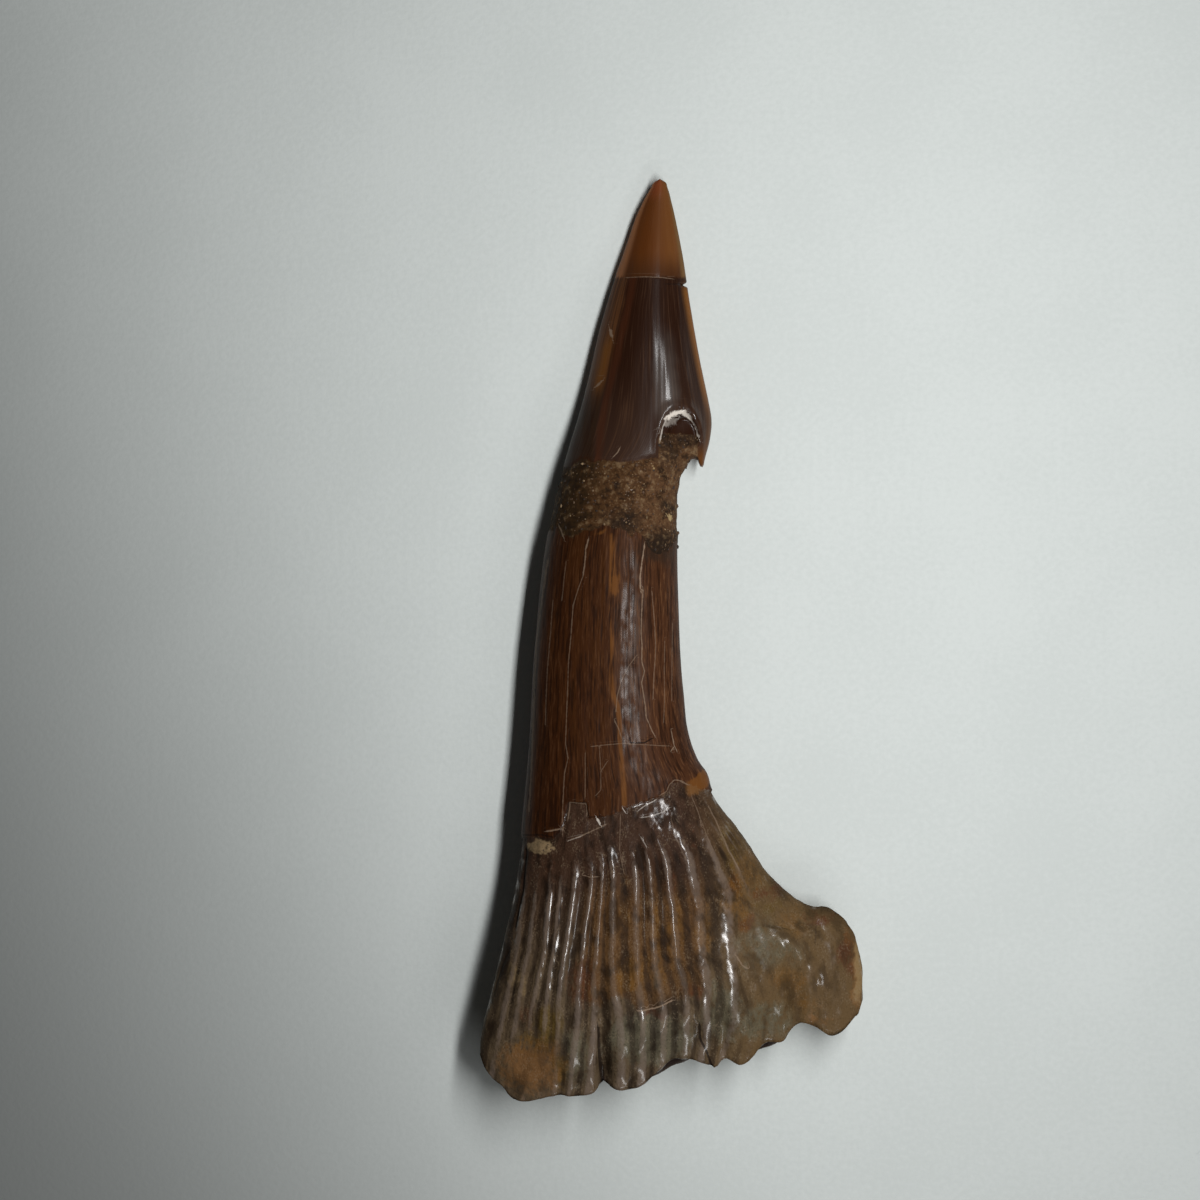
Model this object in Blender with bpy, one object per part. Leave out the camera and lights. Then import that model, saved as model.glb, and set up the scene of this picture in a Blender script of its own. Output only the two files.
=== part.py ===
"""A barbed rostral tooth of a fossil sawfish, lying on its side.

The tooth is one solid: a lens-shaped crown with a hooked barb, a narrow gritty neck, an oval shaft and
a fluted root that flares into lobes around a basal groove. It lies flat: +Y points from the root to the
tip, +X to the side of the barb, +Z up from the surface that it rests on. The origin is on that surface,
in the middle of the tooth's footprint.

The surface is a skin over rings. A ring is one row across the tooth: its upper half runs from the left
edge to the right edge, and its lower half runs back. A place across a row is a share from 0 at the left
edge to 1 at the right edge. A place along the tooth is a station, in millimetres down the left edge.
"""

import bmesh
import bpy
import numpy as np

MM = 0.001

# Driving dimensions, in millimetres: across is to the right of the tip, down is from the tip to the root.
CROWN_END = 17.2
NECK_END = 21.8
SHAFT_END = 39.6
ROOT_END = 52.6

# The left edge: (station, across). Its down is the station itself.
LEFT_EDGE = (
    (0.0, 0.0), (0.15, -0.30), (0.5, -0.52), (1.45, -1.06), (4.2, -2.1), (8.6, -3.5), (13.4, -4.65),
    (18.2, -6.05), (22.0, -6.85), (27.8, -7.5), (34.5, -7.9), (39.6, -8.36), (42.0, -8.55),
    (45.2, -9.25), (49.0, -10.15), (51.6, -10.72), (52.6, -10.8),
)
# The right edge: (station, across, down). The barb's hook runs from 14.6 to 17.2.
RIGHT_EDGE = (
    (0.0, 0.0, 0.0), (0.15, 0.30, 0.15), (0.5, 0.46, 0.5), (1.45, 0.72, 1.45), (4.5, 1.36, 4.5),
    (7.4, 1.8, 7.4), (11.0, 2.42, 11.0), (13.4, 2.9, 13.4), (14.6, 3.1, 14.6), (15.2, 3.08, 15.2),
    (15.7, 2.95, 16.0), (16.1, 2.72, 16.8), (16.4, 2.52, 17.4), (16.6, 2.34, 17.05), (16.8, 2.08, 16.95),
    (17.2, 1.8, 17.2), (17.8, 1.45, 17.8), (18.7, 1.2, 18.7), (20.0, 1.12, 20.0), (25.4, 1.14, 25.4),
    (31.0, 1.38, 30.8), (34.5, 1.78, 33.8), (36.0, 2.2, 34.9), (38.0, 2.85, 35.9), (39.6, 3.12, 36.8),
    (43.6, 5.28, 40.1), (46.4, 7.08, 42.5), (48.3, 8.9, 43.75), (49.5, 10.2, 43.95), (50.6, 11.3, 44.9),
    (51.4, 11.85, 46.3), (52.1, 12.15, 47.8), (52.6, 12.1, 49.4),
)
# The root's lower edge, with its lobes and clefts: (share, down).
LOWER_EDGE = (
    (0.0, 52.6), (0.01, 53.2), (0.03, 53.9), (0.06, 54.5), (0.081, 55.1), (0.115, 55.35), (0.157, 55.2),
    (0.2, 55.0), (0.267, 55.0), (0.301, 54.75), (0.322, 54.2), (0.343, 54.5), (0.385, 54.65),
    (0.448, 54.2), (0.487, 53.7), (0.574, 53.1), (0.6, 53.25), (0.615, 53.35), (0.631, 52.9),
    (0.681, 53.2), (0.739, 52.5), (0.768, 52.3), (0.797, 51.8), (0.815, 51.1), (0.833, 50.8),
    (0.873, 50.95), (0.92, 51.55), (0.941, 51.4), (0.98, 50.45), (0.996, 49.9), (1.0, 49.4),
)
# Heights over the surface at the middle of a row: (station, crest of the back, equator, crest of the belly).
HEIGHTS = (
    (0.0, 0.95, 0.7, 0.45), (2.0, 1.35, 0.7, 0.3), (6.0, 2.25, 0.8, 0.15), (10.0, 3.15, 0.95, 0.1),
    (14.0, 3.85, 1.2, 0.1), (17.0, 4.3, 1.4, 0.12), (20.0, 4.75, 1.6, 0.2), (24.0, 5.2, 1.95, 0.32),
    (28.0, 5.5, 2.4, 0.45), (35.0, 5.8, 2.95, 0.5), (39.6, 6.15, 3.2, 0.42), (45.0, 6.6, 3.45, 0.28),
    (49.0, 6.4, 3.8, 0.26), (52.6, 5.7, 3.9, 0.3),
)
# A row's profile is (1 - |x|^fullness)^roundness, with x from -1 to 1: (station, fullness, roundness).
SECTIONS = (
    (0.0, 1.8, 0.7), (6.0, 1.95, 0.74), (10.0, 2.1, 0.68), (14.0, 2.2, 0.63), (16.5, 2.15, 0.6),
    (19.0, 2.1, 0.54), (36.0, 2.15, 0.5), (45.0, 2.5, 0.5), (52.6, 2.7, 0.5),
)

BARB_BEND = 24.0
LOWER_EDGE_REACH = 11.6
WING_DROP = 0.95
WING_THINNING = 0.38

FLUTE_DEPTH = 0.17
FLUTE_DEPTHS_VARY = (1.0, 0.6, 1.25, 0.8, 1.1, 0.5, 1.3)
# Furrows that end in the lower edge's clefts: (share, half width as a share, depth).
CLEFTS = ((0.322, 0.014, 0.5), (0.631, 0.012, 0.3), (0.825, 0.02, 0.35))
CLEFT_REACH = 4.0
# Where the back's lip is broken away: (share, half width as a share, depth).
SETBACKS = ((0.5, 0.075, 0.7), (0.75, 0.045, 0.6))
# Spots that set how the belly touches the surface: (across, down, how far it bulges, or less than 0 where it
# is hollow), and their half width.
REST_SPOTS = ((-1.0, 15.2, 0.14), (-4.7, 48.2, 0.77), (6.4, 47.4, -0.2))
REST_SPOT_SIZE = 2.1

PIT_CENTRE = (1.42, 15.6)
PIT_SIZE = (0.95, 1.3)
PIT_DEPTH = 0.55
ENAMEL_STEP = 0.2
SHAFT_STEP = 0.16
CRUMB_CENTRE = (-7.2, 40.2)
CRUMB_SIZE = (0.8, 0.45)
CRUMB_HEIGHT = 0.3

LIP_ROUND = 1.7
LIP_HEIGHT = 0.6
# The basal groove: (share of the lips' height, how far down from them).
GROOVE = ((0.78, -0.05), (0.6, -0.6), (0.4, -1.5), (0.0, -2.1))

COLUMNS = 38
EDGE_CROWDING = 0.32
# Rows between stations: (first station, last station, how many).
ROWS = (
    (0.0, 1.45, 3), (1.45, 13.4, 9), (13.4, 18.0, 14), (18.0, 22.4, 5), (22.4, 38.6, 8),
    (38.6, 40.6, 4), (40.6, 51.2, 12), (51.2, 52.6, 4),
)

SHARP_ANGLE = np.radians(32.0)
COLOUR = (0.16, 0.075, 0.04, 1.0)
ROUGHNESS = 0.32


def smooth_through(points, at):
    """The smooth curve through points, (place, value, ...), read at each place in at: a cubic whose
    slope at a point is the weighted mean of the slopes beside it."""
    points = np.array(points)
    places, values = points[:, 0], points[:, 1:]
    gaps = np.diff(places)[:, None]
    slopes = np.diff(values, axis=0) / gaps
    inner = (slopes[:-1] * gaps[1:] + slopes[1:] * gaps[:-1]) / (gaps[1:] + gaps[:-1])
    tangents = np.vstack([slopes[:1], inner, slopes[-1:]])
    at = np.clip(np.atleast_1d(at), places[0], places[-1])
    index = np.clip(np.searchsorted(places, at, side="right") - 1, 0, len(places) - 2)
    gap = gaps[index]
    t = (at[:, None] - places[index][:, None]) / gap
    found = (
        values[index] * (2 * t**3 - 3 * t**2 + 1)
        + values[index + 1] * (3 * t**2 - 2 * t**3)
        + tangents[index] * gap * (t**3 - 2 * t**2 + t)
        + tangents[index + 1] * gap * (t**3 - t**2)
    )
    return found.T


def ramp(value, low, high):
    """0 below low, 1 above high, and a smooth step between them."""
    t = np.clip((value - low) / (high - low), 0.0, 1.0)
    return t * t * (3.0 - 2.0 * t)


def bell(value, centre, width):
    """A hump of height 1 at centre."""
    return np.exp(-(((value - centre) / width) ** 2))


def shares_across():
    """The shares of a row's columns, crowded towards both edges."""
    u = np.linspace(0.0, 1.0, COLUMNS + 1)
    return u - EDGE_CROWDING * np.sin(2.0 * np.pi * u) / (2.0 * np.pi)


def stations_along():
    """The stations of the rows, from the tip to the lips of the root."""
    runs = [np.linspace(first, last, count, endpoint=False) for first, last, count in ROWS]
    return np.concatenate([*runs, [ROWS[-1][1]]])


def across_and_down(shares, station, set_back):
    """Where one row's columns lie. The row runs straight from edge to edge, but its right end bends down
    into the barb, and towards the root's end the row takes the shape of the lower edge."""
    left_across = smooth_through(LEFT_EDGE, station)[0]
    right_across, right_down = smooth_through(RIGHT_EDGE, station)
    barb_dip = (right_down - station) * (station < NECK_END)
    across = left_across + (right_across - left_across) * shares
    down = station + (right_down - barb_dip - station) * shares + barb_dip * shares**BARB_BEND
    chord = ROOT_END + (RIGHT_EDGE[-1][2] - ROOT_END) * shares
    nearness = np.clip((station - ROOT_END + LOWER_EDGE_REACH) / LOWER_EDGE_REACH, 0.0, 1.0) ** 2
    lower = smooth_through(LOWER_EDGE, shares)[0] - set_back * set_backs(shares)
    return across, down + nearness * (lower - chord)


def set_backs(shares):
    """How far the back's lip stops short of the belly's lip, where it is broken away."""
    return sum(depth * bell(shares, centre, width) ** 2 for centre, width, depth in SETBACKS)


def flutes(shares, station):
    """The root's ridges and furrows, one ridge to every second column."""
    column = np.arange(COLUMNS + 1)
    vary = np.array(FLUTE_DEPTHS_VARY)[(column // 2) % len(FLUTE_DEPTHS_VARY)]
    wave = np.where(column % 2 == 1, 1.0, -1.0)
    along = ramp(station, SHAFT_END, 44.0) * (1.0 - 0.6 * ramp(station, 48.0, ROOT_END))
    return FLUTE_DEPTH * wave * vary * along * np.sin(np.pi * shares) ** 0.7


def clefts(shares, station):
    """Furrows that run up from the clefts of the lower edge."""
    along = ramp(station, ROOT_END - CLEFT_REACH, ROOT_END)
    return -along * sum(depth * bell(shares, centre, width) for centre, width, depth in CLEFTS)


def from_centre(across, down, centre, size):
    """The distance from the centre of an oval, 1 on the oval itself."""
    return np.hypot((across - centre[0]) / size[0], (down - centre[1]) / size[1])


def back_features(across, down):
    """What the back alone has: the pit behind the barb and the crumb of matrix at the foot of the shaft."""
    pit = from_centre(across, down, PIT_CENTRE, PIT_SIZE)
    crumb = from_centre(across, down, CRUMB_CENTRE, CRUMB_SIZE)
    return CRUMB_HEIGHT * (1.0 - ramp(crumb, 0.5, 1.2)) - PIT_DEPTH * (1.0 - ramp(pit, 0.65, 1.1))


def belly_features(across, down):
    """What the belly alone has: the bulges that it rests on."""
    bulges = (
        bulge * bell(np.hypot(across - spot_across, down - spot_down), 0.0, REST_SPOT_SIZE)
        for spot_across, spot_down, bulge in REST_SPOTS
    )
    return sum(bulges)


def steps(station):
    """How far the surface lies below the enamel's: the neck under the crown, and the root at the shaft."""
    neck = ramp(station, CROWN_END - 0.1, CROWN_END + 0.25) * (1.0 - ramp(station, NECK_END - 1.0, NECK_END))
    return -ENAMEL_STEP * neck - SHAFT_STEP * bell(station, SHAFT_END + 0.3, 0.5)


def row_points(shares, station, thickness, extra_down):
    """The back's and the belly's points of one row. thickness is the share of the row's height that is
    kept, and extra_down moves the row along the tooth: both shape the lips and the basal groove."""
    crest, equator, belly = smooth_through(HEIGHTS, station)[:, 0]
    fullness, roundness = smooth_through(SECTIONS, station)[:, 0]
    profile = (1.0 - np.abs(2.0 * shares - 1.0) ** fullness) ** roundness
    wing = ramp(shares, 0.35, 1.0) * ramp(station, SHAFT_END, ROOT_END - 3.0)
    middle = equator - WING_DROP * wing
    round_off = ramp(station, ROOT_END - LIP_ROUND, ROOT_END) ** 2
    keep = thickness * (1.0 - (1.0 - LIP_HEIGHT) * round_off)
    relief = flutes(shares, station) + clefts(shares, station) + steps(station)
    sides = (
        (1.0, (crest - equator) * (1.0 - WING_THINNING * wing), thickness, back_features),
        (-1.0, equator - belly, 0.0, belly_features),
    )
    rows = []
    for side, reach, set_back, features in sides:
        across, down = across_and_down(shares, station, set_back)
        height = reach * profile + (relief + features(across, down)) * profile**0.5
        down = down + extra_down * np.sin(np.pi * shares) ** 0.5
        z = np.maximum(middle + side * height * keep, 0.0)
        rows.append(np.stack([across, -down, z], axis=1))
    return rows


def ring(shares, station, thickness=1.0, extra_down=0.0):
    """One closed ring: the back from left to right, then the belly from right to left."""
    back, belly = row_points(shares, station, thickness, extra_down)
    back[[0, -1], 2] = belly[[0, -1], 2]
    return np.concatenate([back, belly[-2:0:-1]])


def tooth_rings():
    """Every ring from the tip, over the lips, to the bottom of the basal groove."""
    shares = shares_across()
    rings = [ring(shares, station) for station in stations_along()]
    return rings + [ring(shares, ROOT_END, thickness, deep) for thickness, deep in GROOVE]


def skin(rings):
    """A closed mesh over the rings. The first ring is a point, and the last one folds flat on itself, so
    welding the doubles closes both ends."""
    bm = bmesh.new()
    loops = [[bm.verts.new(point) for point in points] for points in rings]
    for upper, lower in zip(loops, loops[1:]):
        for here, after in zip(range(len(upper)), [*range(1, len(upper)), 0]):
            bm.faces.new((upper[here], lower[here], lower[after], upper[after]))
    bmesh.ops.remove_doubles(bm, verts=bm.verts, dist=0.002 * MM)
    bmesh.ops.dissolve_degenerate(bm, edges=bm.edges, dist=0.002 * MM)
    bmesh.ops.triangulate(bm, faces=bm.faces, quad_method="SHORT_EDGE")
    bmesh.ops.recalc_face_normals(bm, faces=bm.faces)
    return bm


def fossil_material():
    """Brown, polished fossil enamel and bone."""
    material = bpy.data.materials.new("fossil")
    material.use_nodes = True
    shader = material.node_tree.nodes["Principled BSDF"]
    shader.inputs["Base Color"].default_value = COLOUR
    shader.inputs["Roughness"].default_value = ROUGHNESS
    shader.inputs["Metallic"].default_value = 0.0
    return material


def make_tooth():
    """The tooth, centred on the middle of its footprint."""
    rings = tooth_rings()
    points = np.concatenate(rings)
    middle = (points.min(axis=0) + points.max(axis=0)) / 2.0 * (1.0, 1.0, 0.0)
    bm = skin([(points_of_ring - middle) * MM for points_of_ring in rings])
    mesh = bpy.data.meshes.new("tooth")
    bm.to_mesh(mesh)
    bm.free()
    mesh.set_sharp_from_angle(angle=SHARP_ANGLE)
    mesh.materials.append(fossil_material())
    tooth = bpy.data.objects.new("tooth", mesh)
    bpy.context.scene.collection.objects.link(tooth)
    return tooth


for old in list(bpy.data.objects):
    bpy.data.objects.remove(old, do_unlink=True)
make_tooth()
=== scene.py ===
"""The looks of a barbed rostral tooth of a fossil sawfish, lying on its side on a pale sheet.

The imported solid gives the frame: metres, +Y from the root to the tip, +X to the side of the barb, +Z up from
the surface that the tooth lies on. Here the same skin is laid over far finer rings, with its flutes, margins,
cracks and grit, and the crumbs of matrix that cling to it are a piece of their own.

A place on the tooth has two kinds of measure, both in millimetres. Across and down are from the tip, to the
right and towards the root. Station and share follow the skin: a station runs down the left edge, and a share
goes from 0 at the left edge of a row to 1 at its right edge.
"""

import logging
import math
from dataclasses import dataclass, field
from enum import Enum

import bpy
import numpy as np
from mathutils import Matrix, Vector


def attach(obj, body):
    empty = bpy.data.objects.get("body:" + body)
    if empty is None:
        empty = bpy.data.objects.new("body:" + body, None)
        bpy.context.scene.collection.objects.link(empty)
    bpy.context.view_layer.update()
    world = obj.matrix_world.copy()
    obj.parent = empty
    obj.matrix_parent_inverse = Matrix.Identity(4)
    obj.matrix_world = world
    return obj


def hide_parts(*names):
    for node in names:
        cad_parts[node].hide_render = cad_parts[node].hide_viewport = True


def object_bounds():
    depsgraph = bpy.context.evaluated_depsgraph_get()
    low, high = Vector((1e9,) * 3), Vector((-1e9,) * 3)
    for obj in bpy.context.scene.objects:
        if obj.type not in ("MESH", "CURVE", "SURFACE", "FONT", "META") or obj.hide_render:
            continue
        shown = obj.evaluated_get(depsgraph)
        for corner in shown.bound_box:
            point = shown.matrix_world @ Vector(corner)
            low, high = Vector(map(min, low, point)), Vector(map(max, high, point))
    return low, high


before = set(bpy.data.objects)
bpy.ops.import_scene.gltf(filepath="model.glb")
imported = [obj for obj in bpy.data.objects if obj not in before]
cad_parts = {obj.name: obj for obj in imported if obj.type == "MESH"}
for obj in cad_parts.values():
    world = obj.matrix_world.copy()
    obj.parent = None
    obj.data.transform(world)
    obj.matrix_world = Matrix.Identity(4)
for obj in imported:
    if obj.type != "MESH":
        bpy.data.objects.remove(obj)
CAD_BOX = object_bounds()

MM = 0.001
BOX_MARGIN = 1e-7
TIP_Y_MM = 27.675
LOG = logging.getLogger("tooth")
Table = tuple[tuple[float, ...], ...]
Triple = tuple[float, float, float]
Pigment = tuple[float, float, float, float]


def pigment(red: int, green: int, blue: int) -> Pigment:
    """A paint-chart colour, 0 to 255, as the linear colour that a shader takes: ((c + 0.055) / 1.055)^2.4.

    Args:
        red: the chart's red.
        green: the chart's green.
        blue: the chart's blue.

    Returns:
        The linear colour with an alpha of 1.
    """
    linear = [c / 3294.6 if c < 10.5 else ((c / 255 + 0.055) / 1.055) ** 2.4 for c in (red, green, blue)]
    return (linear[0], linear[1], linear[2], 1.0)


def smooth_through(points: Table, at: np.ndarray) -> np.ndarray:
    """The smooth curve through points: a cubic between neighbours, whose slope at an inner point is the mean
    of the slopes beside it, each weighted with the other's gap.

    Args:
        points: rows of (place, value, ...), in the order of their places.
        at: the places to read, as one row of numbers.

    Returns:
        One row of numbers for each value.
    """
    table = np.array(points)
    places, values = table[:, 0], table[:, 1:]
    gaps = np.diff(places)[:, None]
    slopes = np.diff(values, axis=0) / gaps
    inner = (slopes[:-1] * gaps[1:] + slopes[1:] * gaps[:-1]) / (gaps[1:] + gaps[:-1])
    tangents = np.vstack([slopes[:1], inner, slopes[-1:]])
    at = np.clip(at, places[0], places[-1])
    index = np.clip(np.searchsorted(places, at, side="right") - 1, 0, len(places) - 2)
    gap = gaps[index]
    t = (at[:, None] - places[index][:, None]) / gap
    found = (
        values[index] * (2 * t**3 - 3 * t**2 + 1)
        + values[index + 1] * (3 * t**2 - 2 * t**3)
        + tangents[index] * gap * (t**3 - 2 * t**2 + t)
        + tangents[index + 1] * gap * (t**3 - t**2)
    )
    return found.T


def ramp(value: np.ndarray, low: float, high: float) -> np.ndarray:
    """0 below low, 1 above high, and between them 3t^2 - 2t^3."""
    t = np.clip((value - low) / (high - low), 0.0, 1.0)
    return t * t * (3.0 - 2.0 * t)


def bell(value: np.ndarray, centre: float, width: float) -> np.ndarray:
    """A hump of height 1 at centre: e to the minus square of the distance in widths."""
    return np.exp(-(((value - centre) / width) ** 2))


def read_along(table: Table, at: np.ndarray) -> np.ndarray:
    """The value at each place from a table of (place, value), straight between its rows."""
    return np.interp(at, *np.array(table).T)


def within_box(points: np.ndarray) -> np.ndarray:
    """The points, in metres, moved just inside the solid's box where they are outside."""
    return np.clip(points, np.array(CAD_BOX[0]) + BOX_MARGIN, np.array(CAD_BOX[1]) - BOX_MARGIN)


def lattice_noise(x: np.ndarray, y: np.ndarray, z: np.ndarray, seed: int) -> np.ndarray:
    """Smooth noise from -1 to 1. Each corner of the unit cube round a point has a number hashed from its
    whole coordinates, and the eight are blended with weights 6t^5 - 15t^4 + 10t^3.

    Args:
        x: first coordinate, in lattice cells.
        y: second coordinate.
        z: third coordinate.
        seed: picks one of many different noises.

    Returns:
        The noise at each point.
    """
    cells = [np.floor(v).astype(np.int64) for v in (x, y, z)]
    parts = [v - cell for v, cell in zip((x, y, z), cells)]
    eased = [t**3 * (t * (t * 6.0 - 15.0) + 10.0) for t in parts]
    primes = (73856093, 19349663, 83492791)
    total = np.zeros(np.broadcast(x, y, z).shape)
    for corner in range(8):
        steps = (corner & 1, corner >> 1 & 1, corner >> 2 & 1)
        mixed = seed * 9176 + sum((cell + step) * prime for cell, step, prime in zip(cells, steps, primes))
        mixed = (mixed ^ (mixed >> 13)) * 1274126177 & 0xFFFFFFFF
        mixed = (mixed ^ (mixed >> 16)) & 0xFFFF
        weight = np.ones_like(total)
        for step, ease in zip(steps, eased):
            weight = weight * (ease if step else 1.0 - ease)
        total += weight * (mixed / 32767.5 - 1.0)
    return total


def layered_noise(x: np.ndarray, y: np.ndarray, z: np.ndarray, seed: int, layers: int = 3) -> np.ndarray:
    """Layers of lattice noise, each twice as fine and half as strong as the one before.

    Args:
        x: first coordinate, in cells of the coarsest layer.
        y: second coordinate.
        z: third coordinate.
        seed: the seed of the first layer.
        layers: how many.

    Returns:
        Their sum, brought back to about -1 to 1.
    """
    total = sum(lattice_noise(x * 2**k, y * 2**k, z * 2**k, seed + k) / 2**k for k in range(layers))
    return total / (2.0 - 0.5 ** (layers - 1))


@dataclass(frozen=True)
class Line:
    """A crack, scratch, slit, chipped edge, painted highlight or painted reflection along points of (across,
    down), and how deep a crack or slit is cut."""

    points: Table
    half_width: float
    strength: float = 1.0
    depth: float = 0.02


@dataclass(frozen=True)
class Spot:
    """An oval place on the tooth with a soft edge."""

    across: float
    down: float
    half_width: float
    half_length: float
    strength: float = 1.0

    def reach(self, across: np.ndarray, down: np.ndarray) -> np.ndarray:
        """How far places are from the spot's centre, in its half sizes."""
        return np.hypot((across - self.across) / self.half_width, (down - self.down) / self.half_length)


def spread_of(spots: tuple[Spot, ...], across: np.ndarray, down: np.ndarray) -> np.ndarray:
    """How strongly the nearest of several spots shows: the most of strength * (1 - ramp(r, 0.2, 1.4)), where
    r is the distance from a spot's centre in half sizes.

    Args:
        spots: the spots.
        across: places across.
        down: places down.

    Returns:
        The strength at each place.
    """
    found = np.zeros(np.broadcast(across, down).shape)
    for spot in spots:
        found = np.maximum(found, spot.strength * (1.0 - ramp(spot.reach(across, down), 0.2, 1.4)))
    return found


def nearest_line(
    lines: tuple[Line, ...], across: np.ndarray, down: np.ndarray
) -> tuple[np.ndarray, np.ndarray, np.ndarray]:
    """The nearest line to each place, by the distance to its nearest stretch in half widths. The distance is
    positive on the line's right and negative on its left, so that it goes smoothly through 0 on the line.

    Args:
        lines: the lines.
        across: places across.
        down: places down.

    Returns:
        The signed distance, the line's strength, which is 0 beyond 6 half widths, and its depth.
    """
    offset = np.full(across.shape, 6.0)
    strength = np.zeros(across.shape)
    depth = np.zeros(across.shape)
    for line in lines:
        points = np.array(line.points)
        reach = 6.0 * line.half_width
        low, high = points.min(axis=0) - reach, points.max(axis=0) + reach
        near = (across > low[0]) & (across < high[0]) & (down > low[1]) & (down < high[1])
        here = np.stack([across[near], down[near]], axis=1)[:, None, :]
        start, step = points[:-1][None], np.diff(points, axis=0)[None]
        along = np.clip(((here - start) * step).sum(axis=2) / (step**2).sum(axis=2), 0.0, 1.0)
        apart = here - start - along[..., None] * step
        distance = np.hypot(apart[..., 0], apart[..., 1])
        pick = distance.argmin(axis=1)
        rows = np.arange(len(pick))
        side = step[0, pick, 0] * apart[rows, pick, 1] - step[0, pick, 1] * apart[rows, pick, 0]
        signed = np.where(side < 0.0, -1.0, 1.0) * distance[rows, pick] / line.half_width
        closer = np.abs(signed) < np.abs(offset[near])
        offset[near] = np.where(closer, signed, offset[near])
        fade = line.strength * (1.0 - ramp(np.abs(signed), 3.0, 6.0))
        strength[near] = np.where(closer, fade, strength[near])
        depth[near] = np.where(closer, line.depth, depth[near])
    return offset, strength, depth


def hold(mesh: bpy.types.Mesh, name: str, values: np.ndarray) -> None:
    """Gives each point of a mesh a number, for its finish to read by name."""
    attribute = mesh.attributes.new(name, "FLOAT", "POINT")
    attribute.data.foreach_set("value", values.astype(np.float32))


def show(name: str, data: bpy.types.ID) -> bpy.types.Object:
    """Puts a mesh, a light or a camera into the scene as an object of that name."""
    shown = bpy.data.objects.new(name, data)
    bpy.context.scene.collection.objects.link(shown)
    return shown


@dataclass
class Places:
    """Where the points of the skin lie, as arrays of rings by columns."""

    across: np.ndarray
    down: np.ndarray
    height: np.ndarray
    share: np.ndarray
    station: np.ndarray
    kept: np.ndarray
    on_back: np.ndarray

    def noise(self, sizes: Triple, seed: int, layers: int = 3) -> np.ndarray:
        """Layered noise whose coarsest cells have these sizes across, down and up, in millimetres."""
        places = (self.across / sizes[0], self.down / sizes[1], self.height / sizes[2])
        return layered_noise(*places, seed, layers)


class Side(Enum):
    """The two sides of the tooth: the back lies upwards, the belly on the sheet."""

    BACK = 1
    BELLY = 0


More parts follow.
